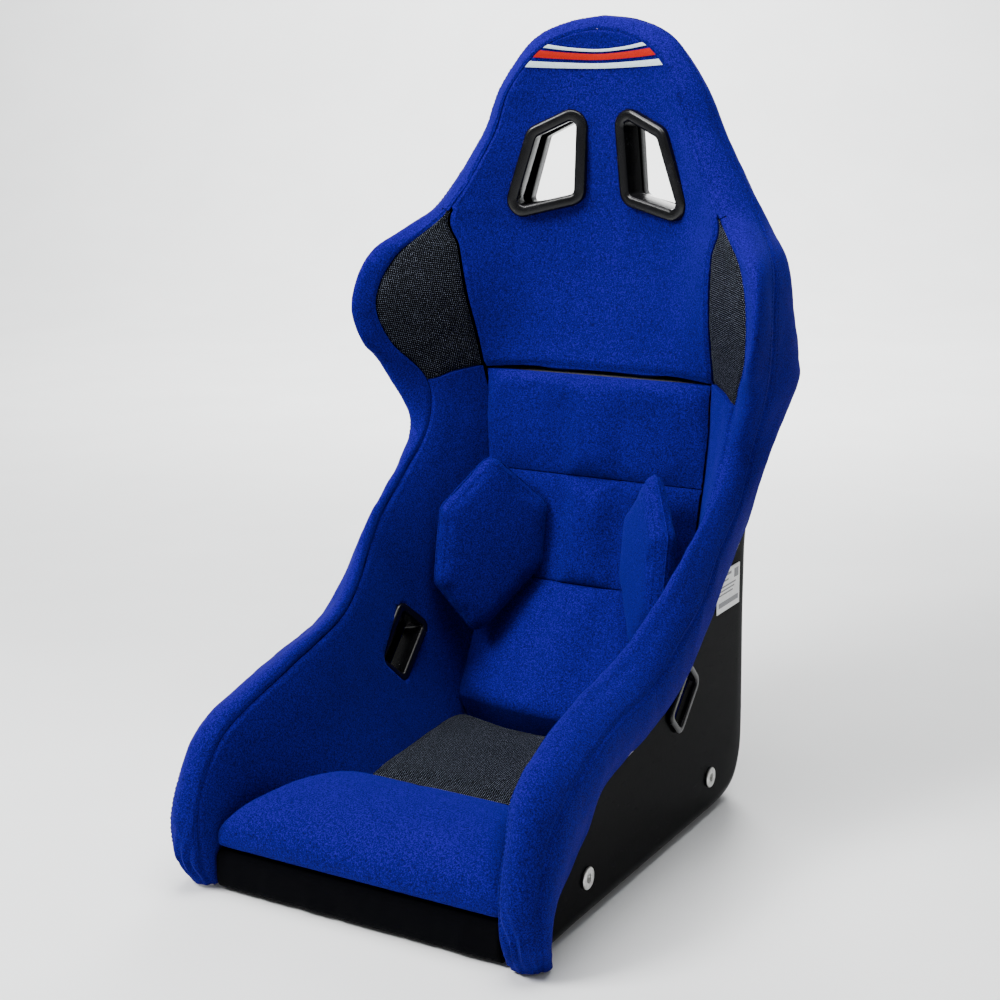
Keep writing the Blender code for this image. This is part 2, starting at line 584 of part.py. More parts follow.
# Lap-belt opening: a slot leaning back with the belt, through the side pad and the shell.
LAP_UP = (0.0, 0.700, -0.710)
LAP_FRAME = plane_frame((0.153, 0.062, 0.170), (-0.955, -0.190, 0.240), LAP_UP)
LAP_INNER = ((0.041, 0.027), (0.041, -0.027), (-0.041, -0.027), (-0.041, 0.027))
LAP_INNER_PROFILE = (
    (-0.0100, -0.0270), (-0.0100, 0.0015), (-0.0082, 0.0030), (-0.0020, 0.0030), (0.0000, 0.0010),
    (0.0000, -0.0050), (-0.0072, -0.0070), (-0.0072, -0.0270),
)
LAP_OUTSIDE = plane_frame((0.1920, 0.0700, 0.160), (1.0, 0.0, 0.0), LAP_UP)
LAP_SHELL = ((0.035, 0.020), (0.035, -0.020), (-0.035, -0.020), (-0.035, 0.020))
LAP_SHELL_PROFILE = (
    (-0.0070, -0.0075), (-0.0070, 0.0020), (-0.0055, 0.0032), (-0.0015, 0.0032), (0.0000, 0.0020),
    (0.0000, 0.0000), (-0.0045, 0.0000), (-0.0045, -0.0075),
)
LAP_SLEEVE = -0.0045
LAP_CORNER = 0.012


def wall_samples():
    """Points of the side pads' inner faces, as (y, z) and x."""
    found = np.array([cover_point(s, q) for s in steps(1.0, WING_LOW, 111) for q in steps(0.0, 2.0, 15)])
    return found[:, 1:], found[:, 0]


def wall_x(samples, y, z, near=5):
    """Half width between the side pads at a height and a distance back."""
    places, widths = samples
    apart = np.linalg.norm(places - [y, z], axis=1)
    closest = np.argsort(apart)[:near]
    weights = 1.0 / (apart[closest] + 1e-4)
    return float(widths[closest] @ weights / weights.sum())


def pillow_profile(c, power=5):
    return 1.0 - abs(c) ** power


def make_back_cushions(samples):
    across = (-1.0, -0.96, -0.85, -0.62, -0.32, 0.0, 0.32, 0.62, 0.85, 0.96, 1.0)
    along = (0.004, 0.035, 0.12, 0.30, 0.50, 0.70, 0.88, 0.965, 0.996)
    for name, low, high in BACK_CUSHIONS:
        front = np.zeros((len(along), len(across), 3))
        back = front.copy()
        for i, t in enumerate(along):
            v = low + (high - low) * t
            y, z = spline(BACK_FACE, v)
            rear_y, rear_z = spline(BACK_LINING, v)
            bulge = pillow_profile(2 * t - 1)
            half = wall_x(samples, y + SEAM_RECESS, z) - 1.5 * CUSHION_GAP
            rear_half = min(wall_x(samples, rear_y, rear_z), half) - 2.5 * CUSHION_GAP
            for j, c in enumerate(across):
                share = bulge * pillow_profile(c)
                curve = 0.020 * (half * c / 0.12) ** 2 * max(0.0, 1 - v / 4.0)
                dip = KIDNEY_DIP * min(1.0, max(0.0, (abs(half * c) - 0.012) / 0.025))
                dip *= max(0.0, 1 - abs(v - 3.6) / 3.4) ** 0.5
                face = y + SEAM_RECESS - (SEAM_RECESS + CROWN) * share + curve
                face += max(0.0, dip - SEAM_RECESS * (1 - share))
                front[i, j] = half * c, face, z
                back[i, j] = rear_half * c, rear_y - CUSHION_GAP, rear_z
        points, faces = body_between(front, back)
        add_object("back_cushion_" + name, points, faces, "blue_felt")


def make_seat_cushion(samples, name, top_line, look, rear_curve):
    across = (-1.0, -0.985, -0.93, -0.80, -0.50, 0.0, 0.50, 0.80, 0.93, 0.985, 1.0)
    side_drop = (0.45, 0.22, 0.07, 0.01, 0.0, 0.0, 0.0, 0.01, 0.07, 0.22, 0.45)
    top = np.zeros((len(top_line), len(across), 3))
    bottom = top.copy()
    for i, (y, z) in enumerate(top_line):
        deep = z - CUSHION_UNDERSIDE
        for j, (c, drop) in enumerate(zip(across, side_drop)):
            height = z - deep * drop
            half = wall_x(samples, y, height) - CUSHION_GAP
            foot = wall_x(samples, y, CUSHION_UNDERSIDE) - CUSHION_GAP
            bend = rear_curve * (c * half / 0.12) ** 2 * max(0.0, y) / 0.107
            top[i, j] = half * c, y + bend, height
            bottom[i, j] = min(foot, half) * c, y + bend, CUSHION_UNDERSIDE
    points, faces = body_between(top, bottom)
    return add_object(name, points, faces, look)


def make_base_foam():
    outline = (
        (-0.168, 0.0070), (0.168, 0.0070), (0.182, 0.0220), (0.182, BASE_FOAM_TOP), (-0.182, BASE_FOAM_TOP),
        (-0.182, 0.0220),
    )
    loops = [np.array([(x, y, z) for x, z in outline]) for y in (-0.226, 0.0, 0.128)]
    loop_body("base_foam", loops, "grey_foam")


def make_back_lining():
    """Foam between the loose back cushions and the shell, flat in front, following the shell behind."""
    rows = steps(0.0, 7.0, 15)
    front = []
    back = []
    for v in rows:
        y, z = spline(BACK_LINING, v)
        s = np.interp(z, [row[INNER_EDGE][2] for row in SECTIONS[8:13]], range(8, 13))
        half = cover_point(s, INNER_EDGE)[0] - 0.0015
        spine = np.array([row[0] for row in SHELL_ROWS[13:20]])
        rear = np.interp(z, spine[:, 1], spine[:, 0]) - SHELL_WALL - 0.0020
        front.append([(half * c, y, z) for c in (-1.0, -0.5, 0.0, 0.5, 1.0)])
        back.append([(half * c, rear, z) for c in (-1.0, -0.5, 0.0, 0.5, 1.0)])
    points, faces = body_between(np.array(front), np.array(back))
    add_object("back_lining", points, faces, "grey_foam")


def make_front_lip():
    profile = (
        (-0.2515, 0.0030), (-0.2600, 0.0045), (-0.2640, 0.0120), (-0.2640, 0.0330), (-0.2600, 0.0415),
        (-0.2500, 0.0435), (-0.2300, 0.0435), (-0.2300, 0.0400), (-0.2490, 0.0395), (-0.2560, 0.0375),
        (-0.2590, 0.0320), (-0.2590, 0.0130), (-0.2560, 0.0085), (-0.2515, 0.0075),
    )
    loops = [np.array([(x, y, z) for y, z in profile]) for x in (-0.163, -0.05, 0.05, 0.163)]
    loop_body("front_lip", loops, "black_cloth")


def make_kidney_pad(side):
    out = np.array([math.cos(KIDNEY_TURN), -math.sin(KIDNEY_TURN), 0.0])
    up = np.array(KIDNEY_UP) / np.linalg.norm(KIDNEY_UP)
    inward = np.cross(out, up)
    centre = np.array(KIDNEY_CENTRE)
    outline = rounded_outline(KIDNEY_OUTLINE, KIDNEY_CORNER)
    profile = (
        (0.25, 0.0065), (0.60, 0.0055), (0.85, 0.0030), (0.96, -0.0005), (1.00, -0.0050),
        (0.98, -0.0085), (0.90, -0.0105), (0.50, -0.0110),
    )
    loops = []
    for scale, height in profile:
        loop = []
        for across, rise in outline * scale:
            wedge = 1.42 + 0.78 * across / KIDNEY_HALF_WIDTH if height < 0 else 1.0
            loop.append(centre + out * across + up * rise + inward * height * wedge)
        loops.append(np.array(loop))
    pivot = mirrored(centre, side)
    return loop_body("kidney_pad_" + side_name(side), loops, "blue_felt", side, origin=pivot)


def make_insert(name, side, y):
    """Threaded steel insert for the side mount: a flange outside the shell and a barrel through it."""
    face = SIDE_X + 0.0003
    profile = (
        (face - 0.0050, INSERT_BORE_R), (face - 0.0050, INSERT_BARREL_R), (face, INSERT_BARREL_R),
        (face, INSERT_FLANGE_R), (face + 0.0018, INSERT_FLANGE_R),
        (face + INSERT_FLANGE_T, INSERT_FLANGE_R - 0.0007), (face + INSERT_FLANGE_T, INSERT_BORE_R),
    )
    turned = steps(0, 2 * math.pi, 17)[:-1]
    loops = [
        np.array([(x, y + r * math.cos(a), INSERT_Z + r * math.sin(a)) for a in turned]) for x, r in profile
    ]
    made = loop_body(name, loops, "zinc_steel", side, closed=True)
    for polygon in made.data.polygons:
        polygon.use_smooth = False
    return made


def make_label(shell_sheet):
    """Printed label lying on the shell's left side wall."""
    tree = BVHTree.FromPolygons(
        [tuple(v.co) for v in shell_sheet.vertices], [tuple(p.vertices) for p in shell_sheet.polygons]
    )
    front = []
    back = []
    for z in steps(*LABEL_Z, 4):
        row = []
        for y in steps(*LABEL_Y, 5):
            hit = tree.ray_cast(Vector((0.40, y, z)), Vector((-1.0, 0.0, 0.0)))[0]
            row.append((hit.x, y, z))
        front.append([(x + 0.0014, y, z) for x, y, z in row])
        back.append([(x + 0.0006, y, z) for x, y, z in row])
    points, faces = body_between(np.array(front), np.array(back))
    add_object("info_label", points, faces, "label_white")


def make_stripes():
    for name, look, low, high in STRIPES:
        half_front = []
        half_back = []
        for s in (low, high):
            row = [(pad_point(s, u), pad_normal(s, u)) for u in steps(0.0, 0.96, 6)]
            half_front.append([p + n * 0.0014 for p, n in row])
            half_back.append([p + n * 0.0006 for p, n in row])
        points, faces = body_between(both_sides(np.array(half_front)), both_sides(np.array(half_back)))
        add_object("head_stripe_" + name, points, faces, look)


def make_hook_tapes():
    """Strips of hook tape that hold the loose cushions, on the foam under and behind them."""
    for name, y in (("front", -0.170), ("rear", 0.020)):
        outline = ((-0.060, y - 0.0125), (0.060, y - 0.0125), (0.060, y + 0.0125), (-0.060, y + 0.0125))
        heights = (BASE_FOAM_TOP + 0.0003, BASE_FOAM_TOP + 0.0015)
        loops = [np.array([(x, v, z) for x, v in outline]) for z in heights]
        loop_body("seat_tape_" + name, loops, "hook_tape")
    rows = steps(0.5, 6.5, 13)
    for side in (1, -1):
        front = []
        back = []
        for v in rows:
            y, z = spline(BACK_LINING, v)
            front.append([(x, y - 0.0020, z) for x in (0.0375, 0.0625)])
            back.append([(x, y - 0.0008, z) for x in (0.0375, 0.0625)])
        points, faces = body_between(mirrored(front, side), mirrored(back, side))
        add_object("back_tape_" + side_name(side), points, faces, "hook_tape")


def make_belt_openings(shell, upper_pad, side_pads):
    for side in (1, -1):
        tag = side_name(side)
        trim_ring("belt_trim_front_" + tag, BELT_FRAME, BELT_OUTER, BELT_CORNER, BELT_FRONT_PROFILE, side)
        trim_ring("belt_trim_rear_" + tag, BELT_REAR, BELT_OUTER, BELT_CORNER, BELT_REAR_PROFILE, side)
        trim_ring("lap_trim_inner_" + tag, LAP_FRAME, LAP_INNER, LAP_CORNER, LAP_INNER_PROFILE, side)
        trim_ring("lap_trim_outer_" + tag, LAP_OUTSIDE, LAP_SHELL, LAP_CORNER, LAP_SHELL_PROFILE, side)
        holes = (
            (upper_pad, "belt_pad_cut_", BELT_FRAME, BELT_OUTER, BELT_CORNER, 0.0, -0.030, 0.040),
            (shell, "belt_shell_cut_", BELT_REAR, BELT_OUTER, BELT_CORNER, BELT_SLEEVE, -0.020, 0.020),
            (side_pads[side], "lap_pad_cut_", LAP_FRAME, LAP_INNER, LAP_CORNER, 0.0, -0.045, 0.030),
            (shell, "lap_shell_cut_", LAP_OUTSIDE, LAP_SHELL, LAP_CORNER, LAP_SLEEVE, -0.020, 0.020),
        )
        for target, name, frame, corners, corner, grow, low, high in holes:
            cut(target, prism_cutter(
                name + tag, frame, corners, corner, grow + TRIM_CLEAR, low, high, side))


def make_side_inserts(shell):
    for side in (1, -1):
        for end, y in (("front", -INSERT_Y), ("rear", INSERT_Y)):
            tag = end + "_" + side_name(side)
            make_insert("side_insert_" + tag, side, y)
            cut(shell, round_cutter(
                "insert_cut_" + tag, side * SIDE_X, y, INSERT_Z, INSERT_BARREL_R + TRIM_CLEAR, 0.03))


def main():
    clear_scene()
    shell = make_shell()
    side_pads = make_cover()
    upper_pad = make_upper_pad()
    samples = wall_samples()
    make_base_foam()
    make_back_lining()
    make_front_lip()
    make_back_cushions(samples)
    make_seat_cushion(samples, "seat_cushion", SEAT_TOP, "black_mesh", SEAT_REAR_CURVE)
    make_seat_cushion(samples, "thigh_cushion", THIGH_TOP, "blue_felt", 0.0)
    for side in (1, -1):
        make_kidney_pad(side)
    make_label(shell.data)
    make_stripes()
    make_hook_tapes()
    make_belt_openings(shell, upper_pad, side_pads)
    make_side_inserts(shell)


main()
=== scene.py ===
"""Looks of the racing bucket seat: sewn felt cover, loose cushions, mesh inserts, moulded trims and shell.
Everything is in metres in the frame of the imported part: +Z up, the occupant faces -Y, +X is their left."""

import json
import math

import bmesh
import bpy
import numpy as np
from mathutils import Matrix, Vector
from mathutils.bvhtree import BVHTree

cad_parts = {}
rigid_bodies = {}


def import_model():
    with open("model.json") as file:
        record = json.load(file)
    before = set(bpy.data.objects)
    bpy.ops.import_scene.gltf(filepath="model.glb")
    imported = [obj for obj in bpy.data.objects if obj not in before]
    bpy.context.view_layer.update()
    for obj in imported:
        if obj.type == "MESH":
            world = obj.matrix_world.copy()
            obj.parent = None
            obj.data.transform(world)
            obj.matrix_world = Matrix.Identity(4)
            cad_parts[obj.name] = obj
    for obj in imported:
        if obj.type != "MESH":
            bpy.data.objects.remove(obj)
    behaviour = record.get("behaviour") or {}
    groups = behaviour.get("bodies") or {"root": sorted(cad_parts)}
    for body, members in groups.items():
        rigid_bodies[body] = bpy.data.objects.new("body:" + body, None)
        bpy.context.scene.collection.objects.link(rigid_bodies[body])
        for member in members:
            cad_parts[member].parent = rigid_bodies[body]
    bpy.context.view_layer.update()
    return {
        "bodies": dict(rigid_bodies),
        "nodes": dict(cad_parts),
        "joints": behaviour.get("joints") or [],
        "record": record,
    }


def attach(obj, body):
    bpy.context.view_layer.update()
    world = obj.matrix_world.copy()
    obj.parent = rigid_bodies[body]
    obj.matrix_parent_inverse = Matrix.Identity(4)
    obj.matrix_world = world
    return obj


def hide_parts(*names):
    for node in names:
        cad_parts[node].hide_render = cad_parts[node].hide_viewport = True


SHELL_WALL = 0.005
SIDE_X = 0.1905
SEAM_GAP = 0.010
MOST_THICKNESS = 0.18
UPPER_PAD_THICK = 0.015
TRIM_CLEAR = 0.0006
CUSHION_UNDERSIDE = 0.0465
CORNER_STEPS = 14

# Design lines of the cover on the +X side, listed from the front floor contact, back over the thigh bolster,
# up the waist, round the shoulder wing and over the head. Each row is one section through the cover:
# inner lower edge, inner face, inner seam, crest, outer seam, outer face, hem.
SECTIONS = (
    ((0.166, -0.2545, 0.006), (0.168, -0.259, 0.005), (0.172, -0.262, 0.004), (0.188, -0.265, 0.004),
     (0.203, -0.257, 0.004), (0.207, -0.246, 0.005), (0.199, -0.238, 0.006)),
    ((0.166, -0.2545, 0.030), (0.167, -0.266, 0.032), (0.173, -0.277, 0.034), (0.192, -0.283, 0.036),
     (0.209, -0.272, 0.036), (0.213, -0.258, 0.037), (0.200, -0.247, 0.038)),
    ((0.165, -0.2450, 0.046), (0.167, -0.266, 0.070), (0.172, -0.280, 0.082), (0.192, -0.286, 0.080),
     (0.209, -0.275, 0.077), (0.213, -0.254, 0.070), (0.200, -0.222, 0.060)),
    ((0.152, -0.215, 0.046), (0.162, -0.244, 0.098), (0.170, -0.262, 0.130), (0.190, -0.268, 0.136),
     (0.208, -0.256, 0.120), (0.213, -0.232, 0.106), (0.199, -0.188, 0.084)),
    ((0.128, -0.172, 0.046), (0.148, -0.203, 0.113), (0.163, -0.230, 0.166), (0.186, -0.232, 0.173),
     (0.207, -0.221, 0.152), (0.211, -0.194, 0.131), (0.198, -0.158, 0.104)),
    ((0.098, -0.105, 0.046), (0.131, -0.122, 0.120), (0.159, -0.135, 0.199), (0.181, -0.133, 0.204),
     (0.203, -0.126, 0.188), (0.208, -0.121, 0.165), (0.197, -0.118, 0.136)),
    ((0.100, -0.030, 0.046), (0.135, -0.038, 0.128), (0.163, -0.046, 0.222), (0.186, -0.045, 0.222),
     (0.205, -0.038, 0.204), (0.208, -0.028, 0.180), (0.196, -0.018, 0.155)),
    ((0.112, 0.062, 0.047), (0.144, 0.028, 0.142), (0.170, 0.000, 0.245), (0.193, 0.004, 0.248),
     (0.208, 0.018, 0.231), (0.208, 0.040, 0.204), (0.196, 0.058, 0.180)),
    ((0.120, 0.150, 0.056), (0.151, 0.095, 0.165), (0.182, 0.045, 0.281), (0.201, 0.051, 0.286),
     (0.212, 0.074, 0.269), (0.208, 0.099, 0.243), (0.196, 0.118, 0.225)),
    ((0.126, 0.205, 0.170), (0.157, 0.138, 0.242), (0.188, 0.080, 0.313), (0.202, 0.084, 0.316),
     (0.213, 0.104, 0.304), (0.209, 0.140, 0.292), (0.197, 0.176, 0.279)),
    ((0.132, 0.236, 0.290), (0.161, 0.184, 0.326), (0.190, 0.137, 0.356), (0.203, 0.140, 0.361),
     (0.214, 0.160, 0.352), (0.212, 0.192, 0.343), (0.202, 0.222, 0.332)),
    ((0.139, 0.246, 0.400), (0.165, 0.212, 0.402), (0.187, 0.178, 0.401), (0.204, 0.172, 0.404),
     (0.218, 0.186, 0.408), (0.224, 0.218, 0.405), (0.211, 0.252, 0.400)),
    ((0.147, 0.236, 0.466), (0.171, 0.211, 0.460), (0.194, 0.187, 0.452), (0.226, 0.153, 0.466),
     (0.241, 0.167, 0.472), (0.250, 0.220, 0.475), (0.236, 0.261, 0.470)),
    ((0.149, 0.222, 0.510), (0.184, 0.184, 0.507), (0.219, 0.149, 0.500), (0.240, 0.121, 0.505),
     (0.249, 0.154, 0.510), (0.253, 0.214, 0.506), (0.236, 0.255, 0.503)),
    ((0.153, 0.208, 0.555), (0.191, 0.168, 0.552), (0.228, 0.133, 0.548), (0.248, 0.114, 0.548),
     (0.251, 0.152, 0.550), (0.251, 0.206, 0.548), (0.232, 0.247, 0.545)),
    ((0.158, 0.201, 0.608), (0.185, 0.176, 0.605), (0.212, 0.153, 0.600), (0.235, 0.139, 0.604),
     (0.241, 0.174, 0.606), (0.240, 0.214, 0.606), (0.215, 0.251, 0.604)),
    ((0.165, 0.199, 0.651), (0.167, 0.198, 0.651), (0.170, 0.197, 0.651), (0.188, 0.208, 0.654),
     (0.200, 0.226, 0.654), (0.200, 0.246, 0.652), (0.187, 0.268, 0.650)),
    ((0.100, 0.240, 0.728), (0.114, 0.232, 0.729), (0.127, 0.223, 0.730), (0.141, 0.232, 0.732),
     (0.151, 0.244, 0.732), (0.153, 0.257, 0.731), (0.146, 0.275, 0.730)),
    ((0.080, 0.244, 0.783), (0.094, 0.237, 0.785), (0.106, 0.228, 0.786), (0.116, 0.236, 0.789),
     (0.125, 0.246, 0.791), (0.125, 0.260, 0.790), (0.118, 0.277, 0.788)),
    ((0.050, 0.246, 0.822), (0.061, 0.241, 0.825), (0.073, 0.235, 0.828), (0.081, 0.243, 0.837),
     (0.087, 0.253, 0.841), (0.085, 0.266, 0.839), (0.079, 0.280, 0.833)),
    ((0.024, 0.247, 0.840), (0.031, 0.244, 0.843), (0.038, 0.239, 0.846), (0.042, 0.247, 0.857),
     (0.044, 0.257, 0.861), (0.043, 0.269, 0.860), (0.041, 0.282, 0.853)),
    ((0.000, 0.248, 0.842), (0.000, 0.246, 0.847), (0.000, 0.242, 0.853), (0.000, 0.249, 0.864),
     (0.000, 0.259, 0.867), (0.000, 0.271, 0.866), (0.000, 0.284, 0.859)),
)
WING_LOW, WING_TOP = 12, 16

# Centre line and quarter line of the upper back pad, at the sections from the lower wing to the apex.
PAD_CENTRE = (
    (0.000, 0.247, 0.468), (0.000, 0.256, 0.512), (0.000, 0.263, 0.556), (0.000, 0.267, 0.608),
    (0.000, 0.266, 0.655), (0.000, 0.258, 0.732), (0.000, 0.252, 0.786), (0.000, 0.248, 0.823),
    (0.000, 0.245, 0.838), (0.000, 0.242, 0.849),
)
PAD_QUARTER = (
    (0.085, 0.245, 0.468), (0.086, 0.247, 0.511), (0.088, 0.248, 0.556), (0.092, 0.248, 0.608),
    (0.095, 0.246, 0.655), (0.073, 0.248, 0.731), (0.060, 0.245, 0.786), (0.040, 0.243, 0.825),
    (0.020, 0.243, 0.840), (0.000, 0.242, 0.850),
)

# How far out the side pads' backs reach, by section, following the inside of the shell.
PAD_BACK_SECTIONS = (0, 2, 9, 9.5, 10, 10.5, 11, 12)
PAD_BACK_X = (0.1800, 0.1845, 0.1840, 0.1820, 0.1795, 0.1835, 0.1925, 0.2110)

# Free edge of the shell, at the same sections as the cover, tucked under the cover's crest.
SHELL_RIM = (
    (0.188, -0.240, 0.020), (0.190, -0.256, 0.050), (0.191, -0.264, 0.072), (0.191, -0.246, 0.108),
    (0.192, -0.212, 0.146), (0.192, -0.128, 0.178), (0.193, -0.040, 0.196), (0.194, 0.016, 0.222),
    (0.196, 0.062, 0.256), (0.198, 0.102, 0.288), (0.199, 0.154, 0.338), (0.203, 0.190, 0.402),
    (0.226, 0.178, 0.468), (0.236, 0.145, 0.506), (0.239, 0.140, 0.549), (0.226, 0.166, 0.604),
    (0.186, 0.228, 0.652), (0.140, 0.248, 0.730), (0.113, 0.253, 0.785), (0.074, 0.260, 0.826),
    (0.038, 0.264, 0.845), (0.000, 0.266, 0.852),
)
# Rows of the shell, from its front lip along the floor, up the back and over the head:
# (y, z) on the centre line, section number where the row meets the rim, outermost x, corner radius.
SHELL_ROWS = (
    ((-0.249, 0.028), 2.0, SIDE_X, 0.012), ((-0.247, 0.011), 2.4, SIDE_X, 0.014),
    ((-0.236, 0.001), 2.9, SIDE_X, 0.016), ((-0.210, 0.000), 3.4, SIDE_X, 0.018),
    ((-0.160, 0.000), 4.2, SIDE_X, 0.020), ((-0.100, 0.000), 5.0, SIDE_X, 0.020),
    ((-0.030, 0.000), 6.0, SIDE_X, 0.020), ((0.040, 0.000), 6.8, SIDE_X, 0.020),
    ((0.110, 0.000), 7.5, SIDE_X, 0.020), ((0.166, 0.000), 8.1, SIDE_X, 0.020),
    ((0.204, 0.000), 8.6, SIDE_X, 0.025), ((0.226, 0.006), 8.9, SIDE_X, 0.029),
    ((0.240, 0.021), 9.15, SIDE_X, 0.033), ((0.246, 0.045), 9.4, SIDE_X, 0.036),
    ((0.248, 0.110), 9.65, SIDE_X, 0.038), ((0.251, 0.190), 9.9, SIDE_X, 0.039),
    ((0.257, 0.270), 10.3, 0.191, 0.040), ((0.266, 0.340), 10.7, 0.195, 0.042),
    ((0.276, 0.405), 11.1, 0.204, 0.042), ((0.284, 0.470), 12.0, 0.226, 0.050),
    ((0.289, 0.512), 13.0, 0.226, 0.058), ((0.292, 0.556), 14.0, 0.220, 0.060),
    ((0.293, 0.608), 15.0, 0.204, 0.056), ((0.292, 0.655), 16.0, 0.181, 0.042),
    ((0.290, 0.694), 16.5, 0.160, 0.030), ((0.288, 0.732), 17.0, 0.139, 0.020),
    ((0.285, 0.788), 18.0, 0.111, 0.018), ((0.282, 0.824), 19.0, 0.072, 0.014),
    ((0.279, 0.843), 20.0, 0.036, 0.008), ((0.275, 0.852), 21.0, 0.000, 0.000),
)

# Side view of the loose back cushions' face and of the lining behind them, (y, z) from the bottom up.
BACK_FACE = (
    (0.110, 0.088), (0.142, 0.130), (0.172, 0.175), (0.200, 0.222), (0.217, 0.285), (0.225, 0.345),
    (0.230, 0.405), (0.234, 0.462),
)
BACK_LINING = (
    (0.150, 0.050), (0.174, 0.100), (0.202, 0.160), (0.226, 0.222), (0.240, 0.285), (0.246, 0.345),
    (0.250, 0.405), (0.253, 0.462),
)
BACK_CUSHIONS = (("lower", 0.0, 3.0), ("middle", 3.0, 5.0), ("upper", 5.0, 7.0))
CUSHION_GAP = 0.003
SEAM_RECESS = 0.008
CROWN = 0.004
# Top line of the mesh seat cushion and of the blue thigh cushion in front of it, (y, z).
SEAT_TOP = (
    (-0.0985, 0.064), (-0.0950, 0.073), (-0.0850, 0.079), (-0.0500, 0.083), (0.0100, 0.084),
    (0.0650, 0.083), (0.0950, 0.080), (0.1040, 0.074), (0.1070, 0.064),
)
THIGH_TOP = (
    (-0.2640, 0.058), (-0.2630, 0.070), (-0.2560, 0.083), (-0.2350, 0.094), (-0.2050, 0.1005),
    (-0.1750, 0.102), (-0.1400, 0.097), (-0.1150, 0.089), (-0.1040, 0.080), (-0.1005, 0.070),
)
SEAT_REAR_CURVE = 0.019
# Kidney pad: centre of its face, how far it is turned inwards, and its outline (outwards, up).
KIDNEY_CENTRE = (0.0940, 0.1670, 0.2720)
KIDNEY_TURN = math.radians(48.0)
KIDNEY_UP = (0.0, 0.18, 0.98)
KIDNEY_HALF_WIDTH = 0.0655
KIDNEY_OUTLINE = (
    (0.010, 0.105), (KIDNEY_HALF_WIDTH, 0.045), (KIDNEY_HALF_WIDTH, -0.044), (0.008, -0.112),
    (-KIDNEY_HALF_WIDTH, -0.035), (-KIDNEY_HALF_WIDTH, 0.042),
)
KIDNEY_CORNER = 0.016
KIDNEY_DIP = 0.011
KIDNEY_SWELL = 0.0022
KIDNEY_PIPING = 0.0011
# Label on the shell's left side wall, and the stripes across the head, as plain bands.
LABEL_Y = (0.156, 0.217)
LABEL_Z = (0.227, 0.273)
STRIPES = (("upper", "stripe_pale", 19.20, 19.36), ("middle", "stripe_red", 18.84, 19.08),
           ("lower", "stripe_pale", 18.56, 18.72))
INSERT_Y = 0.145
INSERT_Z = 0.047
INSERT_BORE_R = 0.0042
INSERT_BARREL_R = 0.0070
INSERT_FLANGE_R = 0.0110
THREAD_PITCH = 0.00105

FRAME_BODY, CUSHION_BODY = "seat_frame", "base_cushion"
SIDES = ((1, "left"), (-1, "right"))


def weights(count, at):
    """Catmull-Rom weights of the control points at each place, run straight on at both ends."""
    at = np.clip(np.atleast_1d(np.asarray(at, float)), 0, count - 1)
    first = np.minimum(at.astype(int), count - 2)
    t = at - first
    shares = 0.5 * np.stack(
        [-t + 2 * t**2 - t**3, 2 - 5 * t**2 + 3 * t**3, t + 4 * t**2 - 3 * t**3, t**3 - t**2], 1
    )
    found = np.zeros((len(at), count))
    for k in range(4):
        for row, (i, share) in enumerate(zip(first + k - 1, shares[:, k])):
            if i < 0:
                found[row, 0] += 2 * share
                found[row, 1] -= share
            elif i >= count:
                found[row, -1] += 2 * share
                found[row, -2] -= share
            else:
                found[row, i] += share
    return found


def along(points, at):
    return weights(len(points), at) @ np.asarray(points, float)


def cover_grid(s, q):
    return np.einsum("si,ijk,qj->sqk", weights(len(SECTIONS), s), np.array(SECTIONS), weights(7, q))


def unit(vectors):
    return vectors / np.maximum(np.linalg.norm(vectors, axis=-1, keepdims=True), 1e-12)


def grid_normals(grid):
    """Normals on the side that faces away from the shell."""
    return unit(np.cross(np.gradient(grid, axis=1), np.gradient(grid, axis=0)))


def lengths(grid, axis):
    """Arc length from the first row or column of a grid."""
    gaps = np.linalg.norm(np.diff(grid, axis=axis), axis=-1)
    return np.concatenate([np.zeros_like(gaps.take([0], axis)), np.cumsum(gaps, axis=axis)], axis=axis)


def ripple(points, wavelength, seed):
    """Smooth irregular waves from -1 to 1, about a wavelength apart."""
    chance = np.random.default_rng(seed)
    total = np.zeros(points.shape[:-1])
    for _ in range(7):
        direction = unit(chance.normal(size=3))
        pitch = wavelength * chance.uniform(0.7, 1.5)
        total += np.sin(points @ direction * 2 * math.pi / pitch + chance.uniform(0, 2 * math.pi))
    return total / 3.5


def spans(*stops):
    """Places from stop to stop; each stop is followed by the number of steps to the next."""
    found = []
    for low, count, high in zip(stops[::2], stops[1::2], stops[2::2]):
        found += list(np.linspace(low, high, count, endpoint=False))
    return np.array(found + [stops[-1]])


def grid_faces(rows, cols, offset=0, flip=False):
    faces = []
    for i in range(rows - 1):
        for j in range(cols - 1):
            a = offset + i * cols + j
            face = (a, a + 1, a + cols + 1, a + cols)
            faces.append(face[::-1] if flip else face)
    return faces


def mirrored(points, side):
    points = np.array(points, float)
    if side < 0:
        points[..., 0] *= -1
    return points


def both_sides(half):
    """Full-width grid from one whose first column is on the centre plane."""
    other = half[:, :0:-1].copy()
    other[..., 0] *= -1
    return np.concatenate([other, half], axis=1)


def nearest(places, where):
    return int(np.argmin(np.abs(places - where)))


def out_and_back(line):
    """A line from the right of the centre plane carried over to the left; its last point is on the plane."""
    return np.concatenate([line, mirrored(line[-2::-1], -1)])


def linked(name, data):
    made = bpy.data.objects.new(name, data)
    bpy.context.scene.collection.objects.link(made)
    return made


def shade_smooth(mesh):
    mesh.polygons.foreach_set("use_smooth", [True] * len(mesh.polygons))


def coordinates(mesh):
    found = np.empty(len(mesh.vertices) * 3, np.float32)
    mesh.vertices.foreach_get("co", found)
    return found.reshape(-1, 3)


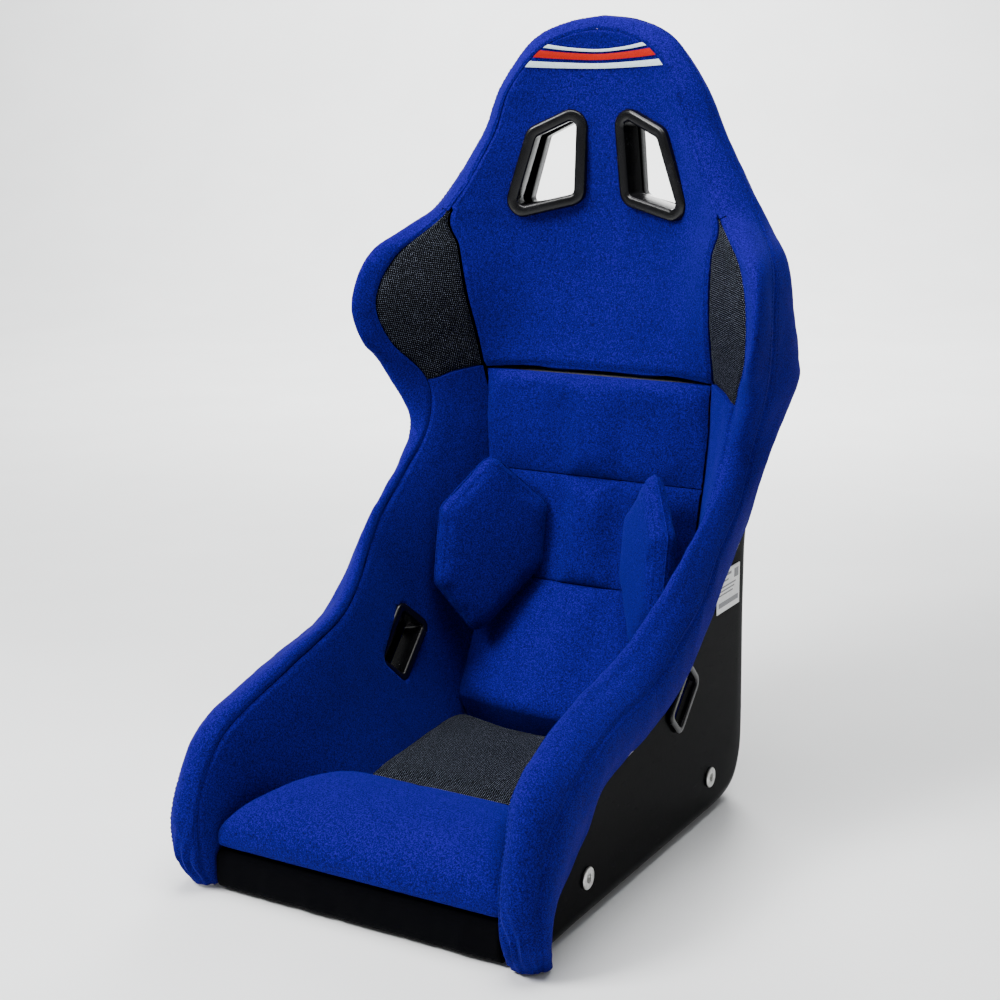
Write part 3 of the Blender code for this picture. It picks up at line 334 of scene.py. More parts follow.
def set_cloth_uv(mesh, flat):
    """UV in metres of cloth, from one pair for each point."""
    layer = mesh.uv_layers.get("cloth") or mesh.uv_layers.new(name="cloth")
    corners = np.empty(len(mesh.loops), int)
    mesh.loops.foreach_get("vertex_index", corners)
    layer.data.foreach_set("uv", np.asarray(flat)[corners].astype(np.float32).ravel())


def mesh_object(name, points, faces, look, side=1, uv=None, sharp=None):
    """A closed body with its faces turned outwards; edges over the angle sharp, in degrees, stay crisp."""
    mesh = bpy.data.meshes.new(name)
    mesh.from_pydata(mirrored(points, side).reshape(-1, 3).tolist(), [], faces)
    if uv is not None:
        set_cloth_uv(mesh, uv)
    work = bmesh.new()
    work.from_mesh(mesh)
    bmesh.ops.recalc_face_normals(work, faces=work.faces)
    if work.calc_volume(signed=True) < 0:
        bmesh.ops.reverse_faces(work, faces=work.faces)
    work.to_mesh(mesh)
    work.free()
    shade_smooth(mesh)
    if sharp is not None:
        mesh.set_sharp_from_angle(angle=math.radians(sharp))
    mesh.materials.append(LOOKS[look])
    return linked(name, mesh)


def slab(name, front, back, look, side=1):
    """Closed body between two grids of the same size, with cloth lengths as its UV."""
    rows, cols = front.shape[:2]
    count = rows * cols
    faces = grid_faces(rows, cols) + grid_faces(rows, cols, count, flip=True)
    border = [(0, j) for j in range(cols)]
    border += [(i, cols - 1) for i in range(1, rows)]
    border += [(rows - 1, j) for j in range(cols - 2, -1, -1)]
    border += [(i, 0) for i in range(rows - 2, 0, -1)]
    ring = [i * cols + j for i, j in border]
    for a, b in zip(ring, ring[1:] + ring[:1]):
        faces.append((b, a, a + count, b + count))
    middle = cols // 2
    run = np.repeat(lengths(front[:, middle : middle + 1], 0), cols, axis=1)
    uv = np.stack([lengths(front, 1), run], -1).reshape(-1, 2)
    points = np.concatenate([front.reshape(-1, 3), back.reshape(-1, 3)])
    return mesh_object(name, points, faces, look, side, np.concatenate([uv, uv]), SLAB_SHARP)


def loops_body(name, loops, look, side=1, closed=False, sharp=None):
    """Body through a row of equal loops, joined last to first when closed, otherwise capped at both ends."""
    count = len(loops[0])
    faces = []
    for k in range(len(loops) if closed else len(loops) - 1):
        after = (k + 1) % len(loops)
        for i in range(count):
            j = (i + 1) % count
            faces.append((k * count + i, k * count + j, after * count + j, after * count + i))
    if not closed:
        last = (len(loops) - 1) * count
        faces.append(tuple(range(count)))
        faces.append(tuple(range(last, last + count)))
    return mesh_object(name, np.concatenate(loops), faces, look, side, sharp=sharp)


def settle(piece, finish, *nodes, fill=None, body=FRAME_BODY):
    """Rides the piece on its body and hides the parts it replaces; its finish is not used."""
    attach(piece, body)
    if nodes:
        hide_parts(*nodes)
    return piece


def modify(piece, kind, **values):
    made = piece.modifiers.new(kind.lower(), kind)
    for name, value in values.items():
        setattr(made, name, value)
    return made


def applied(piece):
    """Bakes the piece's modifiers into its mesh."""
    graph = bpy.context.evaluated_depsgraph_get()
    mesh = bpy.data.meshes.new_from_object(piece.evaluated_get(graph))
    piece.modifiers.clear()
    piece.data = mesh
    return piece


def cut(target, cutters):
    for cutter in cutters:
        modify(target, "BOOLEAN", operation="DIFFERENCE", solver="EXACT", object=cutter)
    applied(target)
    for cutter in cutters:
        bpy.data.objects.remove(cutter, do_unlink=True)


def seam_relief(across, seam, depth=0.0015):
    """Height of the cloth beside a seam at a cloth length: a narrow groove between two soft swells."""
    apart = np.abs(across - seam)
    swell = SEAM_SWELL * (1 - np.exp(-((apart / SEAM_SWELL_REACH) ** 2)))
    return swell - depth * np.exp(-((apart / SEAM_GROOVE_WIDTH) ** 2))


def puckers(across, run, seam, waves):
    """Small gathers that the stitching pulls into the cloth beside a seam."""
    fade = PUCKER_HEIGHT * np.exp(-np.abs(across - seam) / PUCKER_REACH)
    return fade * np.sin(2 * math.pi * run / PUCKER_PITCH + 3 * waves)


def at_length(line, run, place):
    return np.array([np.interp(place, run, line[:, k]) for k in range(3)])


def stitched(name, rows, side=1, body=FRAME_BODY):
    """Short threads lying on the cloth along each (line, normals), as one piece."""
    points, faces = [], []
    for line, normals in rows:
        line = np.asarray(line, float)
        run = lengths(line[:, None], 0)[:, 0]
        for place in np.arange(STITCH_PITCH, run[-1] - STITCH_PITCH, STITCH_PITCH):
            centre = at_length(line, run, place)
            normal = unit(at_length(normals, run, place))
            forward = unit(at_length(line, run, place + 0.001) - centre)
            sideways = np.cross(forward, normal)
            first = len(points)
            for step, (reach, size, lift) in enumerate(STITCH_RINGS):
                for k in range(5):
                    angle = 2 * math.pi * k / 5
                    offset = normal * (math.sin(angle) * size + lift) + sideways * math.cos(angle) * size
                    points.append(centre + forward * reach * STITCH_LENGTH + offset * THREAD_RADIUS)
                    if step:
                        a = first + (step - 1) * 5 + k
                        b = first + (step - 1) * 5 + (k + 1) % 5
                        faces.append((a, b, b + 5, a + 5))
            faces.append(tuple(range(first, first + 5)))
            faces.append(tuple(range(first + 24, first + 19, -1)))
    settle(mesh_object(name, np.array(points), faces, "thread", side), "blue_felt", body=body)


def tube(name, line, radius, look, closed=False):
    """Thin round piping along a line."""
    line = np.asarray(line, float)
    ahead = unit(np.roll(line, -1, 0) - np.roll(line, 1, 0) if closed else np.gradient(line, axis=0))
    loops = []
    guide = np.array([0.0, 0.0, 1.0]) if abs(ahead[0][2]) < 0.9 else np.array([1.0, 0.0, 0.0])
    angles = 2 * math.pi * np.arange(TUBE_SIDES) / TUBE_SIDES
    for point, direction in zip(line, ahead):
        guide = unit(guide - (guide @ direction) * direction)
        other = np.cross(direction, guide)
        loops.append(point + radius * (np.outer(np.cos(angles), guide) + np.outer(np.sin(angles), other)))
    return loops_body(name, loops, look, closed=closed)


SLAB_SHARP = 60.0
TUBE_SIDES = 8
SEAM_GROOVE_WIDTH, SEAM_SWELL, SEAM_SWELL_REACH = 0.0022, 0.0007, 0.012
EDGE_GROOVE = 0.0022
PUCKER_HEIGHT, PUCKER_REACH, PUCKER_PITCH = 0.00035, 0.006, 0.0105
STITCH_PITCH, STITCH_LENGTH, THREAD_RADIUS = 0.0050, 0.0033, 0.00034
# Rings of one stitch: place along it, size, and lift off the cloth.
STITCH_RINGS = ((-0.5, 0.35, -0.5), (-0.36, 0.9, 0.35), (0.0, 1.0, 0.7), (0.36, 0.9, 0.35), (0.5, 0.35, -0.5))
ROLL_PLACES = spans(2.0 + SEAM_GAP, 8, 2.35, 6, 3.0, 7, 3.7, 9, 4.0, 9, 4.3, 7, 5.2, 6, 6.0)
COVER_THICKNESS = (0.010, 0.010, 0.003, 0.008, 0.008, 0.006, 0.004)
STITCH_PLACES = (2.16, 3.83, 4.17)
ROLL_END, APEX = 16.4, 21.0
JOIN_GAP = 0.0005
HEM_RADIUS = 0.0012
SHOULDER_MESH_THICK = 0.009
BAND_TOP, BAND_UNDERSIDE, BAND_RIB = 0.0017, 0.0004, 0.00022


def roll_surface(s):
    """Front, back and normals of the roll at these sections, with its seams, gathers and soft waves."""
    q = ROLL_PLACES
    base = cover_grid(s, q)
    normal = grid_normals(base)
    to_apex = s[-1] == APEX
    if to_apex:
        base[-1, :, 0] = 0.0
        normal = grid_normals(base)
        normal[-1, :, 0] = 0.0
        normal = unit(normal)
    across = lengths(base, 1)
    run = np.repeat(lengths(base[:, 20:21], 0), len(q), axis=1)
    seam = np.array([[np.interp(4.0, q, row)] for row in across])
    waves = ripple(base, 0.045, 3)
    relief = seam_relief(across, seam) + seam_relief(across, 0.0, EDGE_GROOVE)
    relief += puckers(across, run, seam, waves) + puckers(across, run, 0.0, waves)
    relief += 0.0005 * waves + 0.00025 * ripple(base, 0.017, 4)
    relief *= (1 - 0.4 * np.clip((s - 16.6) / 1.4, 0, 1))[:, None]
    folds = np.exp(-((s[:, None] - 0.9) ** 2) / 0.5) * np.exp(-((q[None, :] - 2.7) ** 2) / 0.9)
    relief += 0.0022 * folds * np.sin(2 * math.pi * (q[None, :] * 2.1 + 0.6 * s[:, None]) + 2 * waves)
    if to_apex:
        near = np.clip((s - 20.4) / 0.6, 0, 1)[:, None]
        relief = relief * (1 - near) + relief[-1:] * near
    return base + normal * relief[..., None], base, normal


def make_rolls():
    """The two rolls from the front corners over the bolsters and wings to the head."""
    front, base, normal = roll_surface(spans(0.0, 24, 2.0, 150, ROLL_END - JOIN_GAP))
    thick = np.interp(ROLL_PLACES, range(7), COVER_THICKNESS)
    most = MOST_THICKNESS * np.linalg.norm(base[:, -1] - base[:, 0], axis=-1)
    back = base - normal * np.minimum(thick[None, :], most[:, None])[..., None]
    cols = [nearest(ROLL_PLACES, where) for where in STITCH_PLACES]
    for side, tag in SIDES:
        piece = slab("rim_roll_cover_" + tag, front, back, "felt", side)
        settle(piece, "blue_felt", "rim_roll_" + tag, fill=0.85)
        stitched("rim_roll_stitching_" + tag, [(front[:, col], normal[:, col]) for col in cols], side)


def make_hem():
    """Bound edge of the cover where it meets the shell."""
    half = cover_grid(spans(0.0, 190, APEX), np.array([6.0]))[:, 0]
    settle(tube("cover_hem", out_and_back(half), HEM_RADIUS, "hem"), "black_cloth")


def make_side_pads():
    s = spans(0.0, 110, 11.98)
    q = spans(0.0, 26, 1.7, 10, 2.0 - SEAM_GAP)
    base = cover_grid(s, q)
    normal = grid_normals(base)
    across = lengths(base, 1)
    run = np.repeat(lengths(base[:, 20:21], 0), len(q), axis=1)
    waves = ripple(base, 0.06, 5)
    relief = seam_relief(across, across[:, -1:], EDGE_GROOVE) + puckers(across, run, across[:, -1:], waves)
    relief += 0.0006 * waves + 0.0002 * ripple(base, 0.02, 6)
    front = base + normal * (relief * np.clip(across / 0.02, 0, 1))[..., None]
    rise = base[:, -1] - base[:, 0]
    rise[:, 0] = 0
    rise = unit(rise)
    drop = np.interp(s, (0, 3, 5, 12), (0.026, 0.024, 0.036, 0.036))
    share = (q - q[0]) / (q[-1] - q[0])
    back = base - rise[:, None] * drop[:, None, None] * share[None, :, None]
    back[..., 0] = np.interp(s, PAD_BACK_SECTIONS, PAD_BACK_X)[:, None]
    col = nearest(q, 1.84)
    for side, tag in SIDES:
        piece = slab("side_pad_cover_" + tag, front, back, "felt", side)
        cut(piece, [prism(LAP_FRAME, LAP_INNER, LAP_CORNER, TRIM_CLEAR - 0.002, -0.045, 0.030, side)])
        settle(piece, "blue_felt", "side_pad_" + tag, fill=0.8)
        stitched("side_pad_stitching_" + tag, [(front[:, col], normal[:, col])], side)


def make_shoulder_mesh():
    s = spans(WING_LOW + 0.012, 44, WING_TOP - 0.03)
    base = cover_grid(s, spans(0.012, 30, 2.0 - 2.2 * SEAM_GAP))
    normal = grid_normals(base)
    across, up = lengths(base, 1), lengths(base, 0)
    near = np.minimum(np.minimum(across, across[:, -1:] - across), np.minimum(up, up[-1:] - up))
    relief = -0.0022 * np.exp(-((near / 0.003) ** 2)) + 0.0004 * ripple(base, 0.04, 8)
    front, back = base + normal * relief[..., None], base - normal * SHOULDER_MESH_THICK
    for side, tag in SIDES:
        piece = slab("shoulder_mesh_cover_" + tag, front, back, "mesh_cloth", side)
        settle(piece, "black_mesh", "shoulder_mesh_" + tag, fill=0.7)


def make_head():
    front, base, normal = roll_surface(spans(ROLL_END + JOIN_GAP, 60, APEX))
    thick = np.interp(ROLL_PLACES, range(7), COVER_THICKNESS) * 0.75
    front, back, normal = (out_and_back(grid) for grid in (front, base - normal * thick[None, :, None], normal))
    settle(slab("head_cover_felt", front, back, "felt"), "blue_felt", "head_cover", fill=0.85)
    cols = [nearest(ROLL_PLACES, where) for where in STITCH_PLACES]
    stitched("head_stitching", [(front[:, col], normal[:, col]) for col in cols])


def pad_grid(s, u):
    """Face of the upper back pad: s is the section, u runs from the centre line to the edge."""
    low = np.asarray(s, float) - WING_LOW
    centre = along(PAD_CENTRE, low)
    quarter = along(PAD_QUARTER, low)
    edge = np.where(
        (np.asarray(s) <= WING_TOP)[:, None], cover_grid(s, [0.0])[:, 0], cover_grid(s, [2.0])[:, 0]
    )
    stack = np.stack([quarter * [-1, 1, 1], centre, quarter, edge, 2 * edge - quarter], 1)
    return np.einsum("uk,skc->suc", weights(5, 1 + 2 * np.asarray(u)), stack)


def pad_normals(grid):
    normal = grid_normals(grid)
    normal[:, 0, 0] = 0.0
    return unit(normal)


def make_upper_pad():
    s = spans(WING_LOW - 0.055, 120, 19.9, 24, 20.995)
    u = spans(0.0, 34, 0.90, 10, 0.985)
    base = pad_grid(s, u)
    normal = pad_normals(base)
    across = lengths(base, 1)
    edge = across[:, -1:] - across
    bottom = lengths(base, 0)
    run = np.repeat(bottom[:, 20:21], len(u), axis=1)
    waves = ripple(base, 0.07, 12) * np.clip(across / 0.02, 0, 1)
    relief = 0.0006 * waves - 0.0018 * np.exp(-((edge / 0.0026) ** 2))
    relief -= 0.004 * np.exp(-((bottom / 0.005) ** 2))
    relief += 0.0003 * np.exp(-edge / 0.006) * np.sin(2 * math.pi * run / 0.011)
    front = base + normal * relief[..., None]
    thick = UPPER_PAD_THICK * (1 - 0.7 * np.clip((s - 16) / 5, 0, 1))[:, None] * (1 - 0.35 * u**3)[None, :]
    thick = thick * np.where((s > WING_TOP)[:, None], 1 - 0.6 * u**3, 1.0)
    piece = slab("upper_back_felt", both_sides(front), both_sides(base - normal * thick[..., None]), "felt")
    cut(piece, [prism(BELT_FRAME, BELT_OUTER, BELT_CORNER, -0.002, -0.030, 0.040, side) for side, _ in SIDES])
    settle(piece, "blue_felt", "upper_back_pad", fill=0.8)
    col = nearest(u, 0.955)
    rows = [(mirrored(front[:, col], side), mirrored(normal[:, col], side)) for side, _ in SIDES]
    stitched("upper_back_stitching", rows)


def make_stripes():
    """Three plain woven bands across the head."""
    for name, look, low, high in STRIPES:
        s = spans(low, 8, high)
        base = pad_grid(s, spans(0.0, 40, 0.965))
        normal = pad_normals(base)
        rib = BAND_RIB * np.cos(np.linspace(-1, 1, len(s)) * math.pi / 2)[:, None]
        front = base + normal * (BAND_TOP + rib)[..., None]
        piece = slab("head_band_" + name, both_sides(front), both_sides(base + normal * BAND_UNDERSIDE), look)
        settle(piece, look, "head_stripe_" + name)


def plane_frame(origin, normal, up):
    normal = unit(np.array(normal, float))
    up = np.array(up, float)
    up = unit(up - (up @ normal) * normal)
    return np.array(origin, float), np.cross(up, normal), up, normal


def place(frame, flat, height):
    origin, right, up, normal = frame
    return origin + flat[..., :1] * right + flat[..., 1:2] * up + height * normal


def oblong(half_up, half_across):
    a, b = half_up, half_across
    return (a, b), (a, -b), (-a, -b), (-a, b)


def rounded_outline(corners, radius, grow=0.0):
    """Closed outline of a convex polygon with rounded corners, moved outwards by grow."""
    corners = [np.array(c, float) for c in corners]
    outline = []
    for i, corner in enumerate(corners):
        before = unit(corners[i - 1] - corner)
        after = unit(corners[(i + 1) % len(corners)] - corner)
        half_angle = math.acos(float(np.clip(before @ after, -1, 1))) / 2
        inward = unit(before + after)
        centre = corner + inward * radius / math.sin(half_angle)
        middle = math.atan2(-inward[1], -inward[0])
        sweep = math.pi / 2 - half_angle
        turn = 1.0 if before[0] * after[1] - before[1] * after[0] < 0 else -1.0
        for k in range(CORNER_STEPS):
            angle = middle + turn * sweep * (2 * k / (CORNER_STEPS - 1) - 1)
            outline.append(centre + (radius + grow) * np.array([math.cos(angle), math.sin(angle)]))
    return np.array(outline)


def prism(frame, corners, radius, grow, low, high, side):
    outline = rounded_outline(corners, radius, grow)
    return loops_body("cutter", [place(frame, outline, h) for h in (low, high)], "trim", side)


BELT_FRAME = plane_frame((0.062, 0.247, 0.703), (-0.255, -1.0, -0.07), (0.0, 0.0, 1.0))
BELT_REAR = plane_frame((0.0685, 0.2925, 0.703), (0.0, -1.0, -0.045), (0.0, 0.0, 1.0))
BELT_OUTER = ((-0.047, 0.073), (0.026, 0.040), (0.062, -0.069), (-0.041, -0.045))
BELT_CORNER = 0.020
BELT_FRONT_PROFILE = (
    (-0.0128, -0.0230), (-0.0135, -0.0225), (-0.0135, 0.0010), (-0.0129, 0.0022), (-0.0116, 0.0032),
    (-0.0100, 0.0038), (-0.0045, 0.0038), (-0.0022, 0.0034), (-0.0006, 0.0022), (0.0000, 0.0006),
    (0.0002, -0.0040), (-0.0095, -0.0060), (-0.0100, -0.0070), (-0.0100, -0.0225), (-0.0108, -0.0230),
)
BELT_REAR_PROFILE = (
    (-0.0128, 0.0100), (-0.0135, 0.0096), (-0.0135, -0.0016), (-0.0127, -0.0027), (-0.0112, -0.0034),
    (-0.0030, -0.0034), (-0.0010, -0.0029), (0.0000, -0.0018), (0.0000, -0.0003), (-0.0100, -0.0003),
    (-0.0100, 0.0096), (-0.0108, 0.0100),
)
BELT_SLEEVE = -0.0100
# Lap-belt openings: slots leaning back with the belt, through the side pad and the shell.
LAP_UP = (0.0, 0.700, -0.710)
LAP_FRAME = plane_frame((0.153, 0.062, 0.170), (-0.955, -0.190, 0.240), LAP_UP)
LAP_INNER = oblong(0.041, 0.027)
LAP_INNER_PROFILE = (
    (-0.0094, -0.0270), (-0.0100, -0.0265), (-0.0100, 0.0012), (-0.0094, 0.0024), (-0.0080, 0.0031),
    (-0.0030, 0.0032), (-0.0014, 0.0027), (-0.0003, 0.0014), (0.0001, -0.0045), (-0.0068, -0.0066),
    (-0.0072, -0.0074), (-0.0072, -0.0265), (-0.0078, -0.0270),
)
LAP_OUTSIDE = plane_frame((0.1920, 0.0700, 0.160), (1.0, 0.0, 0.0), LAP_UP)
LAP_SHELL = oblong(0.035, 0.020)
LAP_SHELL_PROFILE = (
    (-0.0066, -0.0075), (-0.0070, -0.0071), (-0.0070, 0.0018), (-0.0065, 0.0028), (-0.0054, 0.0032),
    (-0.0018, 0.0032), (-0.0006, 0.0027), (0.0000, 0.0016), (0.0000, 0.0000), (-0.0045, 0.0000),
    (-0.0045, -0.0071), (-0.0050, -0.0075),
)
LAP_SLEEVE = -0.0045
LAP_CORNER = 0.012


def make_trims():
    rings = (
        ("belt_trim_front_", BELT_FRAME, BELT_OUTER, BELT_CORNER, BELT_FRONT_PROFILE),
        ("belt_trim_rear_", BELT_REAR, BELT_OUTER, BELT_CORNER, BELT_REAR_PROFILE),
        ("lap_trim_inner_", LAP_FRAME, LAP_INNER, LAP_CORNER, LAP_INNER_PROFILE),
        ("lap_trim_outer_", LAP_OUTSIDE, LAP_SHELL, LAP_CORNER, LAP_SHELL_PROFILE),
    )
    for side, tag in SIDES:
        for name, frame, corners, radius, profile in rings:
            loops = [place(frame, rounded_outline(corners, radius, grow), height) for grow, height in profile]
            piece = loops_body(name + "moulding_" + tag, loops, "trim", side, True, 50)
            settle(piece, "moulded_trim", name + tag)


def make_shell():
    """Thin moulded shell: each row is one section from the centre line round to the rim."""
    at = spans(0.0, 116, 29.0)
    centre = along([row[0] for row in SHELL_ROWS], at)
    plain = np.array([row[1:] for row in SHELL_ROWS])
    section, widest, radius = (np.interp(at, range(len(plain)), plain[:, k]) for k in range(3))
    rims = along(SHELL_RIM, section)
    half = []
    for (y, z), s, wide, round_off, rim in zip(centre, section, widest, radius, rims):
        foot = np.array([0.0, y, z])
        flat = wide - round_off
        toward = unit(np.array([0.0, rim[1] - y, rim[2] - z]))
        row = [foot + [flat * share, 0, 0] for share in (0.0, 0.2, 0.4, 0.6, 0.8, 1.0)]
        for angle in np.radians((11, 22, 34, 45, 56, 68, 79, 90)):
            corner = foot + [flat + round_off * math.sin(angle), 0, 0]
            row.append(corner + toward * round_off * (1 - math.cos(angle)))
        start = row[-1]
        flare = 12 + (4 - 12) * min(max((s - 11.0) / 1.0, 0.0), 1.0)
        for share in (0.15, 0.30, 0.45, 0.60, 0.72, 0.82, 0.90, 0.96, 1.0):
            middle = start + (rim - start) * share
            middle[0] = start[0] + (rim[0] - start[0]) * share**flare
            row.append(middle)
        half.append(row)
    full = both_sides(np.array(half))
    rows, cols = full.shape[:2]
    mesh = bpy.data.meshes.new("shell_sheet")
    mesh.from_pydata(full.reshape(-1, 3).tolist(), [], grid_faces(rows, cols))
    work = bmesh.new()
    work.from_mesh(mesh)
    bmesh.ops.remove_doubles(work, verts=work.verts, dist=1e-5)
    bmesh.ops.dissolve_degenerate(work, edges=work.edges, dist=1e-6)
    work.normal_update()
    lowest = min(work.faces, key=lambda face: face.calc_center_median().z)
    if lowest.normal.z > 0:
        bmesh.ops.reverse_faces(work, faces=work.faces)
    work.to_mesh(mesh)
    work.free()
    shade_smooth(mesh)
    mesh.materials.append(LOOKS["shell"])
    sheet = tree_of(mesh)
    shell = linked("shell_moulding", mesh)
    modify(shell, "SOLIDIFY", thickness=SHELL_WALL, offset=-1.0)
    applied(shell)
    cutters = []
    barrel = INSERT_BARREL_R + TRIM_CLEAR
    for side, _ in SIDES:
        cutters.append(prism(BELT_REAR, BELT_OUTER, BELT_CORNER, BELT_SLEEVE + TRIM_CLEAR, -0.02, 0.02, side))
        cutters.append(prism(LAP_OUTSIDE, LAP_SHELL, LAP_CORNER, LAP_SLEEVE + TRIM_CLEAR, -0.02, 0.02, side))
        for y in (-INSERT_Y, INSERT_Y):
            hole = plane_frame((SIDE_X, y, INSERT_Z), (1.0, 0.0, 0.0), (0.0, 0.0, 1.0))
            cutters.append(prism(hole, oblong(barrel, barrel), barrel - 0.0001, 0.0, -0.015, 0.015, side))
    cut(shell, cutters)
    shell.data.set_sharp_from_angle(angle=math.radians(40))
    settle(shell, "gloss_shell", "seat_shell")
    return sheet


def make_inserts():
    """Threaded steel inserts for the side mounts."""
    face = SIDE_X + 0.0003
    bore, barrel, flange = INSERT_BORE_R, INSERT_BARREL_R, INSERT_FLANGE_R
    profile = [(face - 0.0050, barrel), (face, barrel), (face, flange - 0.0002), (face + 0.0003, flange)]
    profile += [(face + 0.0017, flange), (face + 0.0023, flange - 0.0005), (face + 0.0025, flange - 0.0012)]
    profile += [(face + 0.0025, bore + 0.0009), (face + 0.0020, bore + 0.0002)]
    for thread in range(6):
        down = thread * THREAD_PITCH
        profile += [(face + 0.0014 - down, bore + 0.0001), (face + 0.0009 - down, bore + 0.0007)]
    profile.append((face - 0.0050, bore + 0.0002))
    turn = [(math.cos(a), math.sin(a)) for a in np.linspace(0, 2 * math.pi, 48, endpoint=False)]
    for side, tag in SIDES:
        for end, y in (("front_", -INSERT_Y), ("rear_", INSERT_Y)):
            loops = [np.array([(x, y + r * cos, INSERT_Z + r * sin) for cos, sin in turn]) for x, r in profile]
            piece = loops_body("insert_steel_" + end + tag, loops, "steel", side, True, 35)
            settle(piece, "zinc_steel", "side_insert_" + end + tag)


def on_shell(sheet, y, z, height):
    hit = sheet.ray_cast(Vector((0.40, y, z)), Vector((-1.0, 0.0, 0.0)))[0]
    return hit.x + height, y, z


def shell_strip(sheet, name, y, z, heights, look):
    """Thin strip lying on the shell's side wall, between two heights above it."""
    front, back = (np.array([[on_shell(sheet, a, b, height) for a in y] for b in z]) for height in heights)
    return settle(slab(name, front, back, look), "label_white", *(["info_label"] if look == "label" else []))


def make_label(sheet):
    """Printed film on the left side wall, with plain grey bars."""
    shell_strip(sheet, "label_film", spans(LABEL_Y[0], 16, LABEL_Y[1]), spans(LABEL_Z[0], 12, LABEL_Z[1]),
                (0.0014, 0.0004), "label")
    bars = (
        (0.160, 0.194, 0.2655, 0.2685), (0.160, 0.186, 0.2600, 0.2618), (0.160, 0.206, 0.2540, 0.2555),
        (0.160, 0.202, 0.2500, 0.2515), (0.160, 0.198, 0.2460, 0.2475), (0.160, 0.213, 0.2330, 0.2385),
        (0.202, 0.213, 0.2590, 0.2690),
    )
    for number, (y0, y1, z0, z1) in enumerate(bars):
        shell_strip(sheet, "label_bar_%d" % number, spans(y0, 6, y1), (z0, z1), (0.0016, 0.0010), "label_ink")


def wall_samples():
    found = cover_grid(spans(1.0, 110, 12.0), spans(0.0, 14, 2.0)).reshape(-1, 3)
    return found[:, 1:], found[:, 0]


def wall_x(samples, y, z):
    """Half width between the side pads at a height and a distance back."""
    places, widths = samples
    apart = np.linalg.norm(places - [y, z], axis=1)
    closest = np.argpartition(apart, 5)[:5]
    shares = 1.0 / (apart[closest] + 1e-4)
    return float(widths[closest] @ shares / shares.sum())


def make_back_cushions(samples):
    across = np.sin(np.linspace(-1, 1, 61) * math.pi / 2) * 0.5 + np.linspace(-1, 1, 61) * 0.5
    for number, (name, low, high) in enumerate(BACK_CUSHIONS):
        t = 0.5 - 0.494 * np.cos(np.linspace(0, 1, 33) * math.pi)
        front = np.zeros((len(t), len(across), 3))
        back = front.copy()
        for i, share_up in enumerate(t):
            v = low + (high - low) * share_up
            y, z = along(BACK_FACE, v)[0]
            rear_y, rear_z = along(BACK_LINING, v)[0]
            bulge = 1 - abs(2 * share_up - 1) ** 6
            half = wall_x(samples, y + SEAM_RECESS, z) - 1.3 * CUSHION_GAP
            rear_half = min(wall_x(samples, rear_y, rear_z), half) - 2.5 * CUSHION_GAP
            for j, c in enumerate(across):
                share = bulge * (1 - abs(c) ** 7)
                curve = 0.020 * (half * c / 0.12) ** 2 * max(0.0, 1 - v / 4.0)
                dip = KIDNEY_DIP * min(1.0, max(0.0, (abs(half * c) - 0.012) / 0.025))
                dip *= max(0.0, 1 - abs(v - 3.6) / 3.4) ** 0.5
                face = y + SEAM_RECESS - (SEAM_RECESS + CROWN) * share + curve
                face += max(0.0, dip - SEAM_RECESS * (1 - share))
                front[i, j] = half * c, face, z
                back[i, j] = rear_half * c, rear_y - CUSHION_GAP, rear_z
        waves = 0.0011 * ripple(front, 0.09, 20 + number) + 0.0004 * ripple(front, 0.03, 30 + number)
        fade = (1 - abs(2 * t - 1) ** 6)[:, None] * (1 - np.abs(across) ** 6)[None, :]
        front[..., 1] -= waves * fade
        piece = slab("back_cushion_felt_" + name, front, back, "felt")
        settle(piece, "blue_felt", "back_cushion_" + name, fill=0.75)


def inflate(piece, voxel, cap, pinned=None):
    """Swells a closed cushion as cloth under pressure; no point moves further than cap."""
    modify(piece, "REMESH", mode="VOXEL", voxel_size=voxel, use_smooth_shade=True)
    applied(piece)
    mesh = piece.data
    rest = coordinates(mesh)
    settings = modify(piece, "CLOTH").settings
    for name, value in CLOTH_SETTINGS.items():
        setattr(settings, name, value)
    settings.effector_weights.gravity = 0.0
    if pinned is not None:
        group = piece.vertex_groups.new(name="held")
        group.add([int(i) for i in np.nonzero(pinned(rest))[0]], 1.0, "REPLACE")
        settings.vertex_group_mass = "held"
    for frame in range(1, CLOTH_FRAMES + 1):
        bpy.context.scene.frame_set(frame)
    graph = bpy.context.evaluated_depsgraph_get()
    move = coordinates(piece.evaluated_get(graph).to_mesh()) - rest
    size = np.linalg.norm(move, axis=1, keepdims=True)
    move *= np.minimum(1.0, cap / np.maximum(size, 1e-9))
    piece.modifiers.clear()
    bpy.context.scene.frame_set(1)
    rest = rest + move
    mesh.vertices.foreach_set("co", rest.ravel())
    shade_smooth(mesh)
    modify(piece, "SMOOTH", factor=0.5, iterations=3)
    modify(piece, "SUBSURF", levels=1, render_levels=1)
    shade_smooth(applied(piece).data)


CUSHION_VOXEL, KIDNEY_VOXEL, FOAM_VOXEL = 0.0045, 0.0040, 0.0040
CLOTH_FRAMES = 20
CLOTH_SETTINGS = {
    "quality": 6, "mass": 0.25, "use_pressure": True, "uniform_pressure_force": 4.0,
    "tension_stiffness": 12.0, "compression_stiffness": 12.0, "bending_stiffness": 0.6,
}


def tree_of(mesh):
    return BVHTree.FromPolygons([v.co for v in mesh.vertices], [tuple(p.vertices) for p in mesh.polygons])


def hugged(tree, line, lift=0.0):
    """The line moved onto the nearest surface, with the normals there."""
    places, normals = [], []
    for point in line:
        found, normal = tree.find_nearest(Vector(point))[:2]
        places.append(np.array(found) + lift * np.array(normal))
        normals.append(np.array(normal))
    return np.array(places), np.array(normals)


